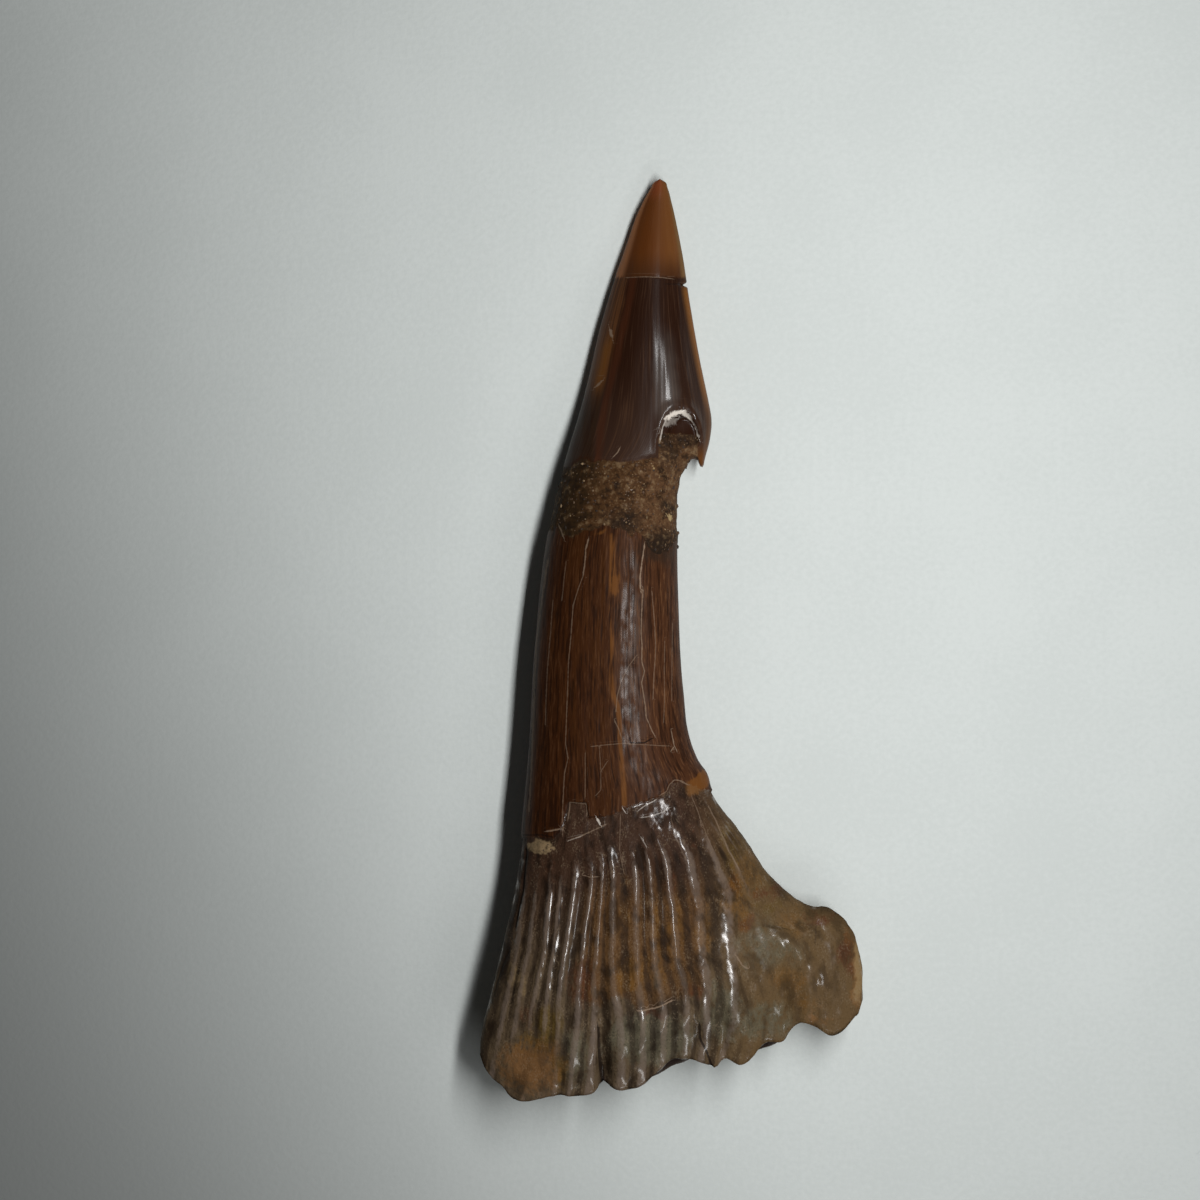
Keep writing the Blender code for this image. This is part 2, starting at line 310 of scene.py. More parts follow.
@dataclass
class ToothForm:
    """The main form of the tooth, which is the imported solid's: rings of a back and a belly, from the tip to
    the bottom of the basal groove. All tables are in millimetres."""

    neck_end: float = 21.8
    shaft_end: float = 39.6
    root_end: float = 52.6
    left_edge: Table = (
        (0.0, 0.0), (0.15, -0.3), (0.5, -0.52), (1.45, -1.06), (4.2, -2.1), (8.6, -3.5), (13.4, -4.65),
        (18.2, -6.05), (22.0, -6.85), (27.8, -7.5), (34.5, -7.9), (39.6, -8.36), (42.0, -8.55),
        (45.2, -9.25), (49.0, -10.15), (51.6, -10.72), (52.6, -10.8),
    )
    right_edge: Table = (
        (0.0, 0.0, 0.0), (0.15, 0.3, 0.15), (0.5, 0.46, 0.5), (1.45, 0.72, 1.45), (4.5, 1.36, 4.5),
        (7.4, 1.8, 7.4), (11.0, 2.42, 11.0), (13.4, 2.9, 13.4), (14.6, 3.1, 14.6), (15.2, 3.08, 15.2),
        (15.7, 2.95, 16.0), (16.1, 2.72, 16.8), (16.4, 2.52, 17.4), (16.6, 2.34, 17.05),
        (16.8, 2.08, 16.95), (17.2, 1.8, 17.2), (17.8, 1.45, 17.8), (18.7, 1.2, 18.7), (20.0, 1.12, 20.0),
        (25.4, 1.14, 25.4), (31.0, 1.38, 30.8), (34.5, 1.78, 33.8), (36.0, 2.2, 34.9), (38.0, 2.85, 35.9),
        (39.6, 3.12, 36.8), (43.6, 5.28, 40.1), (46.4, 7.08, 42.5), (48.3, 8.9, 43.75), (49.5, 10.2, 43.95),
        (50.6, 11.3, 44.9), (51.4, 11.85, 46.3), (52.1, 12.15, 47.8), (52.6, 12.1, 49.4),
    )
    lower_edge: Table = (
        (0.0, 52.6), (0.01, 53.2), (0.03, 53.9), (0.06, 54.5), (0.081, 55.1), (0.115, 55.35), (0.157, 55.2),
        (0.2, 55.0), (0.267, 55.0), (0.301, 54.75), (0.322, 54.2), (0.343, 54.5), (0.385, 54.65),
        (0.448, 54.2), (0.487, 53.7), (0.574, 53.1), (0.6, 53.25), (0.615, 53.35), (0.631, 52.9),
        (0.681, 53.2), (0.739, 52.5), (0.768, 52.3), (0.797, 51.8), (0.815, 51.1), (0.833, 50.8),
        (0.873, 50.95), (0.92, 51.55), (0.941, 51.4), (0.98, 50.45), (0.996, 49.9), (1.0, 49.4),
    )
    heights: Table = (
        (0.0, 0.95, 0.7, 0.45), (2.0, 1.35, 0.7, 0.3), (6.0, 2.25, 0.8, 0.15), (10.0, 3.15, 0.95, 0.1),
        (14.0, 3.85, 1.2, 0.1), (17.0, 4.3, 1.4, 0.12), (20.0, 4.75, 1.6, 0.2), (24.0, 5.2, 1.95, 0.32),
        (28.0, 5.5, 2.4, 0.45), (35.0, 5.8, 2.95, 0.5), (39.6, 6.15, 3.2, 0.42), (45.0, 6.6, 3.45, 0.28),
        (49.0, 6.4, 3.8, 0.26), (52.6, 5.7, 3.9, 0.3),
    )
    sections: Table = (
        (0.0, 1.8, 0.7), (6.0, 1.95, 0.74), (10.0, 2.1, 0.68), (14.0, 2.2, 0.63), (16.5, 2.15, 0.6),
        (19.0, 2.1, 0.54), (36.0, 2.15, 0.5), (45.0, 2.5, 0.5), (52.6, 2.7, 0.5),
    )
    barb_bend: float = 24.0
    lower_edge_reach: float = 11.6
    wing_drop: float = 0.95
    wing_thinning: float = 0.38
    clefts: Table = ((0.322, 0.014, 0.5), (0.631, 0.012, 0.3), (0.825, 0.02, 0.35))
    cleft_reach: float = 4.0
    set_backs: Table = ((0.5, 0.075, 0.7), (0.75, 0.045, 0.6))
    rest_spots: Table = ((-1.0, 15.2, 0.14), (-4.7, 48.2, 0.77), (6.4, 47.4, -0.2))
    rest_spot_size: float = 2.1
    pit: Spot = Spot(1.42, 15.6, 0.95, 1.3, 0.55)
    crumb: Spot = Spot(-7.2, 40.2, 0.8, 0.45, 0.3)
    lip_round: float = 1.7
    lip_height: float = 0.6
    groove: Table = ((1.0, 0.0), (0.78, -0.05), (0.6, -0.6), (0.4, -1.5), (0.0, -2.1))
    groove_rings: int = 10
    back_columns: int = 152
    belly_columns: int = 76
    edge_crowding: float = 0.32
    rows: Table = (
        (0.0, 1.5, 14), (1.5, 6.0, 32), (6.0, 6.7, 14), (6.7, 13.2, 44), (13.2, 18.2, 60), (18.2, 22.6, 44),
        (22.6, 34.0, 64), (34.0, 41.6, 66), (41.6, 50.9, 62), (50.9, 52.6, 18),
    )
    middle: tuple[float, float] = (0.6756, -27.6753)

    def shares(self, columns: int) -> np.ndarray:
        """The shares of a row's columns, crowded towards both edges: u - c sin(2 pi u) / (2 pi)."""
        u = np.linspace(0.0, 1.0, columns + 1)
        return u - self.edge_crowding * np.sin(2.0 * np.pi * u) / (2.0 * np.pi)

    def ring_stations(self) -> tuple[np.ndarray, np.ndarray, np.ndarray]:
        """The rings' stations, from the tip to the lips of the root and on into the basal groove.

        Returns:
            The stations, the share of the row's height that each ring keeps, and how far it moves down.
        """
        runs = [np.linspace(first, last, int(count), endpoint=False) for first, last, count in self.rows]
        stations = np.concatenate([*runs, [self.root_end]])
        table = np.array(self.groove)
        steps = np.linspace(0.0, len(table) - 1, self.groove_rings + 1)[1:]
        kept = np.interp(steps, np.arange(len(table)), table[:, 0])
        extra = np.interp(steps, np.arange(len(table)), table[:, 1])
        lips = np.ones(len(stations))
        return (
            np.concatenate([stations, np.full(len(steps), self.root_end)]),
            np.concatenate([lips, kept]),
            np.concatenate([lips * 0.0, extra]),
        )

    def side(self, side: Side, columns: int) -> Places:
        """The back or the belly. A row runs straight from edge to edge; its right end bends down into the
        barb by dip * share^bend, and near the root it takes the shape of the lower edge. Its height is
        middle +- reach * (1 - |2 share - 1|^fullness)^roundness, with the pit, crumb, clefts or bulges added.

        Args:
            side: which side.
            columns: how many columns it has.

        Returns:
            The places of the side's points.
        """
        back = side is Side.BACK
        stations, *others = self.ring_stations()
        s = self.shares(columns)[None, :]
        st, kept, extra = (row[:, None] for row in (stations, *others))
        left = smooth_through(self.left_edge, stations)[0][:, None]
        right, right_down = (row[:, None] for row in smooth_through(self.right_edge, stations))
        crest, equator, belly = (row[:, None] for row in smooth_through(self.heights, stations))
        fullness, roundness = (row[:, None] for row in smooth_through(self.sections, stations))
        dip = (right_down - st) * (st < self.neck_end)
        across = left + (right - left) * s
        down = st + (right_down - dip - st) * s + dip * s**self.barb_bend
        chord = self.root_end + (self.right_edge[-1][2] - self.root_end) * s
        above_end = st - self.root_end + self.lower_edge_reach
        nearness = np.clip(above_end / self.lower_edge_reach, 0.0, 1.0) ** 2
        lower = smooth_through(self.lower_edge, s[0])[0][None, :]
        if back:
            lower = lower - kept * sum(depth * bell(s, at, width) ** 2 for at, width, depth in self.set_backs)
        down = down + nearness * (lower - chord)
        profile = (1.0 - np.abs(2.0 * s - 1.0) ** fullness) ** roundness
        wing = ramp(s, 0.35, 1.0) * ramp(st, self.shaft_end, self.root_end - 3.0)
        round_off = ramp(st, self.root_end - self.lip_round, self.root_end) ** 2
        keep = kept * (1.0 - (1.0 - self.lip_height) * round_off)
        cleft = -ramp(st, self.root_end - self.cleft_reach, self.root_end) * sum(
            depth * bell(s, at, width) for at, width, depth in self.clefts
        )
        if back:
            reach = (crest - equator) * (1.0 - self.wing_thinning * wing)
            crumb, pit = self.crumb.reach(across, down), self.pit.reach(across, down)
            features = self.crumb.strength * (1.0 - ramp(crumb, 0.5, 1.2))
            features = features - self.pit.strength * (1.0 - ramp(pit, 0.65, 1.1))
        else:
            reach = equator - belly
            features = sum(
                bulge * bell(np.hypot(across - at_across, down - at_down), 0.0, self.rest_spot_size)
                for at_across, at_down, bulge in self.rest_spots
            )
        height = (reach * profile + (cleft + features) * profile**0.5) * keep
        down = down + extra * np.sin(np.pi * s) ** 0.5
        z = equator - self.wing_drop * wing + (height if back else -height)
        full = np.ones_like(across)
        return Places(across, down, z, s * full, st * full, kept * full, full * float(back))

    def ring_places(self) -> Places:
        """The whole skin: each ring goes over the back from left to right, and back under the belly."""
        back = self.side(Side.BACK, self.back_columns)
        belly = self.side(Side.BELLY, self.belly_columns)
        joined = {
            name: np.concatenate([getattr(back, name), getattr(belly, name)[:, -2:0:-1]], axis=1)
            for name in Places.__dataclass_fields__
        }
        return Places(**joined)

    def faces(self, rings: int) -> list[tuple[int, ...]]:
        """The faces over the rings, outward. The first ring is folded shut over its own middle, and in the
        last ring each belly edge takes in the two back edges that lie on it.

        Args:
            rings: how many rings there are.

        Returns:
            The corner numbers of each face.
        """
        columns = self.back_columns + self.belly_columns
        grid = np.arange(rings * columns).reshape(rings, columns)
        place = np.arange(columns)
        half = self.belly_columns // 2
        under = columns - place
        folded = np.where(place <= self.back_columns, np.minimum(place, self.back_columns - place), place)
        mirrored = columns - (self.belly_columns - under)
        folded = np.where((place > self.back_columns) & (under > half), mirrored, folded)
        grid[0] = folded
        upper, lower = grid[:-1], grid[1:]
        quads = np.stack([upper, lower, np.roll(lower, -1, axis=1), np.roll(upper, -1, axis=1)], axis=2)
        back = self.back_columns
        faces = [*map(tuple, quads[:-1].reshape(-1, 4).tolist()), *map(tuple, quads[-1, :back].tolist())]
        belly_top = [*grid[-2, back:].tolist(), int(grid[-2, 0])]
        rim = grid[-1, : back + 1].tolist()
        for step in range(self.belly_columns):
            at = back - 2 * step
            faces.append((belly_top[step], rim[at], rim[at - 1], rim[at - 2], belly_top[step + 1]))
        return faces


@dataclass
class ToothMarks:
    """Where the tooth's margins, ridges, cracks and stains lie, and where highlights, sheen, shade and a
    reflection are painted, read as masks over its places.
    """

    enamel_margin: Table = (
        (-7.0, 17.6), (-5.4, 17.45), (-4.8, 17.0), (-4.2, 17.15), (-3.3, 17.05), (-2.4, 17.2),
        (-1.2, 17.05), (-0.3, 17.0), (0.2, 16.9), (1.0, 17.0), (2.0, 17.5), (2.6, 18.2), (3.4, 18.4),
    )
    arch: Spot = Spot(1.1, 16.4, 1.22, 2.35)
    shaft_margin: Table = (
        (-8.0, 21.2), (-6.2, 21.1), (-5.9, 21.6), (-5.3, 21.7), (-4.6, 21.3), (-3.3, 21.0), (-2.2, 21.3),
        (-1.2, 21.5), (-0.8, 22.0), (-0.2, 22.7), (0.4, 22.4), (0.9, 21.9), (1.4, 21.8),
    )
    # The left border of the dark core: (down, across).
    core_border: Table = (
        (5.0, -1.9), (6.24, -1.98), (10.44, -2.88), (13.44, -3.6), (16.74, -4.08), (19.0, -4.3),
    )
    junction: Table = (
        (-9.0, 39.72), (-7.2, 39.48), (-6.42, 39.6), (-6.0, 39.18), (-5.76, 38.52), (-5.55, 37.56),
        (-4.44, 37.53), (-4.32, 38.4), (-3.6, 38.34), (-2.88, 38.16), (-2.1, 37.8), (-1.2, 37.44),
        (-0.3, 37.2), (0.36, 36.84), (0.6, 36.3), (1.26, 36.18), (1.86, 36.42), (2.4, 36.66), (3.3, 36.9),
    )
    patch_end: Table = (
        (-5.4, 48.9), (-4.4, 49.3), (-3.6, 49.6), (-2.6, 48.9), (-1.9, 49.2), (-1.32, 49.86), (-0.3, 49.68),
        (0.66, 49.26), (1.6, 49.0), (2.6, 49.0),
    )
    ridge_stations: tuple[float, ...] = (40.0, 43.0, 46.0, 49.0, 52.6)
    # One ridge after the other: its share at each of those stations, then its height.
    ridges: Table = (
        (0.038, 0.046, 0.058, 0.047, 0.035, 0.07), (0.088, 0.093, 0.096, 0.079, 0.073, 0.08),
        (0.161, 0.16, 0.159, 0.122, 0.114, 0.19), (0.204, 0.203, 0.192, 0.162, 0.156, 0.1),
        (0.269, 0.262, 0.237, 0.202, 0.19, 0.24), (0.342, 0.339, 0.302, 0.263, 0.232, 0.2),
        (0.386, 0.384, 0.349, 0.308, 0.282, 0.1), (0.43, 0.425, 0.403, 0.37, 0.369, 0.26),
        (0.535, 0.529, 0.497, 0.441, 0.418, 0.15), (0.594, 0.586, 0.551, 0.491, 0.47, 0.28),
        (0.656, 0.655, 0.628, 0.561, 0.535, 0.26), (0.755, 0.755, 0.726, 0.637, 0.575, 0.18),
        (0.856, 0.856, 0.836, 0.726, 0.631, 0.09), (0.91, 0.925, 0.911, 0.813, 0.696, 0.06),
        (0.94, 0.95, 0.947, 0.877, 0.754, 0.05), (0.965, 0.97, 0.972, 0.925, 0.85, 0.04),
        (0.985, 0.985, 0.987, 0.965, 0.93, 0.04),
    )
    ridge_lean: float = 0.28
    ridge_start: tuple[float, float] = (38.2, 41.8)
    pale_lines: tuple[Line, ...] = (
        Line(((-4.32, 21.84), (-4.47, 22.44), (-4.5, 23.04), (-4.62, 24.0)), 0.045, 0.55),
        Line(((-4.62, 24.0), (-4.98, 24.96), (-5.22, 25.8), (-5.37, 27.84), (-5.49, 29.04), (-5.55, 30.84),
              (-5.61, 32.34), (-5.67, 33.96), (-5.52, 34.86), (-5.73, 35.76), (-5.82, 37.44),
              (-5.88, 39.4)), 0.035, 0.35),
        Line(((-6.42, 25.44), (-6.6, 27.84), (-6.75, 29.64), (-6.84, 31.44), (-6.87, 32.88)), 0.035, 0.3),
        # Painted reflection: the pale strip along the shaft's left wall, where it mirrors the lit sheet.
        Line(((-6.72, 23.04), (-7.02, 24.84), (-7.29, 26.64), (-7.44, 28.14), (-7.53, 30.24),
              (-7.62, 32.64), (-7.71, 35.34), (-7.86, 38.04)), 0.07, 0.35),
        Line(((-5.64, 23.16), (-5.76, 24.24), (-5.88, 25.44)), 0.035, 0.25),
        Line(((-0.96, 22.14), (-1.11, 23.16), (-1.22, 24.06), (-1.2, 24.84)), 0.045, 0.9),
        Line(((-1.05, 24.84), (-1.14, 26.16), (-1.17, 27.36), (-1.11, 28.2), (-1.14, 29.04), (-0.96, 29.7),
              (-1.14, 30.36), (-1.02, 31.08), (-0.9, 31.8), (-0.87, 32.4), (-0.66, 32.88), (-0.48, 33.3),
              (-0.3, 33.6)), 0.035, 0.6),
        Line(((-1.44, 28.74), (-1.92, 29.4), (-2.34, 30.24), (-2.58, 31.08), (-2.67, 32.04)), 0.03, 0.4),
        Line(((-4.08, 34.14), (-3.3, 34.05), (-2.28, 33.96), (-0.9, 34.05), (0.48, 34.14)), 0.03, 0.35),
        Line(((0.63, 33.24), (0.72, 33.72), (0.81, 34.14), (0.66, 34.38)), 0.035, 0.7),
        Line(((0.81, 34.14), (0.96, 34.44)), 0.035, 0.7),
        Line(((-0.54, 24.84), (-0.36, 26.94), (-0.3, 28.44), (-0.39, 29.76), (-0.45, 31.32)), 0.03, 0.4),
        Line(((0.24, 27.84), (0.21, 29.64), (0.24, 31.44), (0.18, 32.76)), 0.03, 0.3),
        Line(((0.72, 26.76), (0.69, 28.44), (0.66, 31.44)), 0.03, 0.3),
        Line(((0.0, 37.02), (0.36, 36.81), (0.51, 36.42), (0.81, 36.15), (1.26, 36.21),
              (1.68, 36.42)), 0.035, 0.5),
        Line(((-5.55, 38.46), (-5.43, 37.47), (-4.44, 37.53), (-4.41, 38.16)), 0.035, 0.6),
        Line(((-6.72, 39.21), (-5.88, 39.03)), 0.05, 0.6),
        Line(((-5.46, 39.72), (-4.68, 39.42), (-4.0, 39.1), (-3.3, 38.76)), 0.04, 0.5),
        Line(((-4.62, 41.76), (-4.2, 41.88), (-3.78, 41.85)), 0.035, 0.5),
        Line(((-3.66, 34.14), (-3.57, 35.64), (-3.57, 36.72), (-3.84, 37.02)), 0.03, 0.3),
        Line(((-3.57, 35.64), (-3.18, 35.04)), 0.03, 0.3),
        Line(((-4.5, 34.56), (-4.5, 37.14)), 0.03, 0.3),
        Line(((1.92, 37.08), (2.34, 38.34), (2.76, 39.54), (3.12, 40.32)), 0.03, 0.3),
        Line(((2.94, 37.74), (3.54, 39.12), (4.08, 40.44), (4.68, 41.52)), 0.04, 0.45),
        Line(((-1.32, 49.86), (-0.3, 49.68), (0.66, 49.26)), 0.045, 0.8),
        Line(((4.5, 46.62), (4.86, 47.22), (5.16, 47.4)), 0.05, 0.6),
        Line(((-6.1, 21.0), (-5.76, 21.78)), 0.05, 0.5),
        Line(((-2.0, 6.02), (-0.9, 6.0), (0.1, 6.04), (0.75, 6.1)), 0.035, 0.4),
        Line(((-3.0, 9.2), (-2.9, 9.6)), 0.09, 0.8),
        Line(((-3.84, 12.6), (-3.55, 12.3)), 0.07, 0.6),
        Line(((-2.8, 16.86), (-2.55, 16.6), (-2.45, 16.4)), 0.035, 0.7),
        Line(((-2.76, 32.6), (-2.5, 33.1), (-2.35, 33.6)), 0.035, 0.4),
        Line(((2.0, 37.3), (2.3, 38.2), (2.4, 38.9)), 0.03, 0.45),
        Line(((-2.4, 38.2), (-2.46, 40.2), (-2.2, 41.6)), 0.03, 0.35),
        Line(((0.6, 38.4), (0.9, 39.6), (1.5, 40.9)), 0.03, 0.25),
    )
    dark_lines: tuple[Line, ...] = (
        Line(((-1.86, 33.66), (-1.8, 33.96), (-1.62, 33.9)), 0.04, 0.8, 0.03),
        Line(((-1.44, 33.93), (-0.96, 33.93), (-0.54, 33.69)), 0.04, 0.8, 0.03),
        Line(((-8.1, 40.3), (-8.12, 41.64), (-8.26, 42.84), (-8.44, 43.74),
              (-8.68, 44.94)), 0.07, 0.6, 0.14),
        Line(((-9.06, 46.32), (-9.42, 47.16), (-9.78, 48.24), (-10.14, 49.56)), 0.06, 0.45, 0.12),
        Line(((-8.58, 47.52), (-8.76, 48.54), (-8.94, 49.44)), 0.06, 0.5, 0.12),
        Line(((-3.42, 54.6), (-3.48, 53.34), (-3.6, 52.14), (-3.66, 50.9)), 0.09, 0.8, 0.2),
        Line(((4.62, 47.52), (4.86, 48.54), (5.16, 49.62)), 0.1, 0.25, 0.1),
        Line(((3.06, 53.3), (2.72, 52.3), (2.34, 51.6), (2.3, 50.8)), 0.07, 0.8, 0.18),
        Line(((9.3, 45.1), (9.27, 45.9)), 0.06, 0.3, 0.05),
        Line(((0.4, 6.42), (1.9, 6.38)), 0.05, 0.4, 0.02),
        Line(((-6.0, 39.12), (-5.72, 38.5), (-5.5, 37.5), (-4.44, 37.48), (-4.3, 38.34),
              (-3.6, 38.28)), 0.05, 0.5, 0.04),
        Line(((-8.3, 39.5), (-7.2, 39.42), (-6.42, 39.54), (-6.05, 39.15)), 0.05, 0.5, 0.04),
    )
    # White lines along the rim of the arch over the pit and on the ledges at the shaft's end: painted
    # highlights, in part pale chipped edges.
    white_lines: tuple[Line, ...] = (
        Line(((0.0, 15.84), (0.14, 15.12), (0.44, 14.5)), 0.045, 0.5),
        Line(((0.44, 14.5), (0.86, 14.28), (1.38, 14.22), (1.74, 14.5)), 0.14, 1.0),
        Line(((1.74, 14.5), (2.12, 15.0), (2.28, 15.6)), 0.07, 0.9),
        Line(((0.5, 14.9), (0.86, 14.75)), 0.2, 0.3),
        Line(((-3.78, 38.46), (-3.64, 38.7)), 0.06, 0.7),
        Line(((-1.32, 37.92), (-0.9, 37.62), (-0.3, 37.32)), 0.03, 0.4),
        Line(((-1.14, 38.34), (-0.6, 38.28), (0.12, 38.04), (0.5, 37.8)), 0.03, 0.35),
        Line(((-2.28, 37.8), (-2.1, 38.04)), 0.03, 0.5),
        Line(((-5.46, 39.72), (-5.1, 39.6), (-4.74, 39.48)), 0.03, 0.25),
        Line(((-1.2, 39.5), (-0.84, 40.1)), 0.03, 0.25),
    )
    ochre: tuple[Spot, ...] = (
        Spot(-1.92, 47.64, 1.0, 1.3, 0.8), Spot(0.78, 45.24, 0.8, 2.6, 0.55),
        Spot(2.52, 45.24, 0.9, 2.0, 0.55), Spot(4.5, 43.44, 1.3, 2.6, 0.55),
        Spot(5.28, 41.76, 1.1, 1.8, 0.45), Spot(7.5, 47.94, 1.8, 1.2, 0.5),
        Spot(7.8, 44.94, 1.6, 1.4, 0.45), Spot(-0.3, 44.94, 0.6, 2.4, 0.5),
        Spot(-2.28, 43.74, 0.5, 3.0, 0.45), Spot(-0.6, 47.2, 2.2, 1.4, 0.4), Spot(8.6, 49.6, 1.6, 1.4, 0.4),
    )
    orange: tuple[Spot, ...] = (
        Spot(-7.6, 53.2, 2.5, 2.2, 0.75), Spot(2.28, 36.36, 0.9, 0.6, 1.4),
        Spot(-6.42, 38.82, 0.4, 0.3, 0.6), Spot(-2.64, 24.42, 0.36, 0.95, 0.9),
        Spot(11.8, 47.5, 0.5, 3.0, 0.75), Spot(11.4, 45.54, 0.7, 0.9, 0.45),
        Spot(-3.5, 21.25, 0.9, 0.16, 0.6), Spot(9.4, 50.6, 1.4, 0.4, 0.5),
    )
    rust: tuple[Spot, ...] = (
        Spot(-4.8, 48.12, 1.2, 1.9, 0.6), Spot(4.38, 42.54, 0.6, 1.2, 0.6),
        Spot(4.98, 44.76, 0.8, 0.6, 0.6), Spot(1.92, 48.84, 1.0, 0.9, 0.6),
        Spot(-0.6, 49.98, 1.1, 0.35, 0.7), Spot(0.48, 42.36, 0.6, 1.2, 0.4),
        Spot(-6.6, 41.76, 0.6, 1.5, 0.35), Spot(6.9, 42.84, 2.2, 0.6, 0.5), Spot(9.6, 44.34, 1.6, 0.7, 0.5),
        Spot(11.2, 46.6, 0.8, 1.8, 0.6), Spot(-8.0, 50.2, 1.0, 1.6, 0.4), Spot(2.0, 39.8, 0.5, 1.6, 0.35),
    )
    olive: tuple[Spot, ...] = (
        Spot(-6.6, 50.94, 1.0, 1.7, 0.9), Spot(-7.62, 51.84, 1.5, 1.1, 0.6),
        Spot(-6.0, 53.4, 0.6, 1.5, 0.7), Spot(4.2, 40.4, 0.9, 2.0, 0.5), Spot(6.6, 43.9, 1.4, 0.8, 0.4),
    )
    green_grey: tuple[Spot, ...] = (
        Spot(-0.6, 51.54, 3.2, 1.9, 0.9), Spot(-5.1, 52.44, 1.3, 2.2, 0.6),
        Spot(3.72, 50.04, 1.6, 2.4, 0.7), Spot(6.6, 46.14, 2.8, 2.4, 0.5), Spot(6.0, 50.5, 2.7, 1.7, 0.6),
    )
    tan: tuple[Spot, ...] = (
        Spot(11.9, 47.2, 0.5, 2.6, 0.9), Spot(-8.94, 47.76, 0.5, 1.1, 0.6),
        Spot(-8.3, 48.2, 0.35, 0.8, 0.5), Spot(-0.48, 17.5, 0.16, 0.12, 0.6),
        Spot(0.0, 17.9, 0.12, 0.16, 0.6), Spot(-0.95, 18.85, 0.5, 0.5, 0.35),
        Spot(0.5, 20.3, 0.2, 0.26, 0.85),
    )
    soot: tuple[Spot, ...] = (
        Spot(-2.2, 20.6, 1.3, 0.85, 0.8), Spot(-2.67, 18.4, 0.25, 0.4, 0.9),
        Spot(0.45, 19.8, 0.5, 0.5, 0.9), Spot(-0.1, 22.3, 1.9, 1.2, 0.85), Spot(1.8, 15.6, 0.9, 0.8, 0.7),
        Spot(0.4, 16.6, 0.7, 1.1, 0.75),
    )
    knob: Spot = Spot(-7.9, 53.4, 2.1, 2.4)
    streak: Line = Line(
        ((-2.88, 21.6), (-2.88, 23.04), (-2.94, 24.84), (-2.94, 26.64), (-2.88, 28.44), (-2.94, 30.24),
        (-2.82, 31.14), (-2.58, 31.74), (-2.46, 32.64), (-2.43, 33.84), (-2.34, 35.04), (-2.22, 36.24),
        (-2.16, 37.56)), 0.13,
    )
    glint: tuple[Spot, ...] = (
        Spot(-0.6, 37.9, 2.2, 0.8, 0.5), Spot(-3.7, 38.7, 0.7, 0.5, 0.9), Spot(-8.0, 53.2, 0.8, 0.9, 1.3),
        Spot(10.2, 48.6, 2.0, 1.8, 0.8), Spot(2.4, 51.4, 1.8, 1.3, 0.8), Spot(5.2, 45.4, 2.4, 2.4, 0.6),
        Spot(-3.4, 53.6, 3.4, 1.0, 0.5), Spot(-0.9, 44.0, 0.5, 3.0, 0.5), Spot(0.6, 44.5, 0.5, 3.6, 0.5),
        Spot(-5.6, 45.5, 2.2, 3.5, 0.6),
    )
    # Glossy places: on the shaft they get a clear coat and a painted grey sheen; the last spot places the
    # painted highlight on the crown.
    gloss: tuple[Spot, ...] = (
        Spot(-1.7, 26.8, 0.85, 3.2, 0.8), Spot(-1.75, 31.2, 1.0, 3.4, 0.85),
        Spot(-1.6, 23.7, 0.35, 1.0, 1.0), Spot(-1.2, 35.8, 1.5, 0.8, 0.3), Spot(0.3, 12.3, 0.75, 2.6, 0.8),
    )

    def crown(self, at: Places) -> np.ndarray:
        """How far inside the enamel a place is, in millimetres, less than 0 outside: the distance above the
        margin, or the distance outside the arch over the pit if that is less."""
        margin = read_along(self.enamel_margin, at.across) + 0.12 * at.noise((0.4, 0.6, 2.0), 3)
        arch = (self.arch.reach(at.across, at.down) - 1.0) * 1.5 + 0.05 * at.noise((0.3, 0.3, 1.0), 4)
        return np.where(at.on_back > 0.5, np.minimum(margin - at.down, arch), margin - at.down)

    def shaft(self, at: Places) -> np.ndarray:
        """How far below the ragged end of the neck a place is, in millimetres."""
        margin = read_along(self.shaft_margin, at.across)
        return at.down - margin + 0.35 * at.noise((0.35, 0.5, 1.5), 5)

    def glazed(self, at: Places) -> np.ndarray:
        """Like crown, but the glossy upper wall of the pit counts as enamel too."""
        wall = np.minimum(15.5 - at.down + 0.25 * at.noise((0.3, 0.3, 1.0), 9), at.down - 14.0)
        in_pit = at.on_back * (np.abs(at.across - self.arch.across) < self.arch.half_width)
        return np.where(in_pit > 0.5, np.maximum(self.crown(at), wall), self.crown(at))

    def root(self, at: Places) -> np.ndarray:
        """How far below the end of the shaft's dark skin a place is, in millimetres."""
        return at.down - read_along(self.junction, at.across) + 0.07 * at.noise((0.3, 0.3, 1.0), 6)

    def patch(self, at: Places) -> np.ndarray:
        """The matt patch in the middle of the root: a soft box with a sharp lower rim."""
        rim = read_along(self.patch_end, at.across) - at.down
        top = ramp(at.down + 0.5 * at.noise((0.5, 2.0, 2.0), 7), 41.0, 44.0)
        left = ramp(at.across + 0.1 * (at.down - 45.0) * (at.across < -2.0), -5.2, -4.0)
        sides = left * (1.0 - ramp(at.across, 2.3, 2.9))
        return at.on_back * top * sides * ramp(rim, -0.06, 0.1)

    def smoothness(self, at: Places) -> np.ndarray:
        """Where the root has hardly any ridges: on the knob at its lower left and most of the way on the
        wing."""
        knob = spread_of((self.knob,), at.across, at.down)
        return np.maximum(knob, 0.8 * ramp(at.across, 3.2, 6.0))

    def ridges_show(self, at: Places) -> np.ndarray:
        """How far the ridges stand out: they start on a slanting line and miss the smooth places."""
        return ramp(at.down + at.across * self.ridge_lean, *self.ridge_start) * (1.0 - self.smoothness(at))

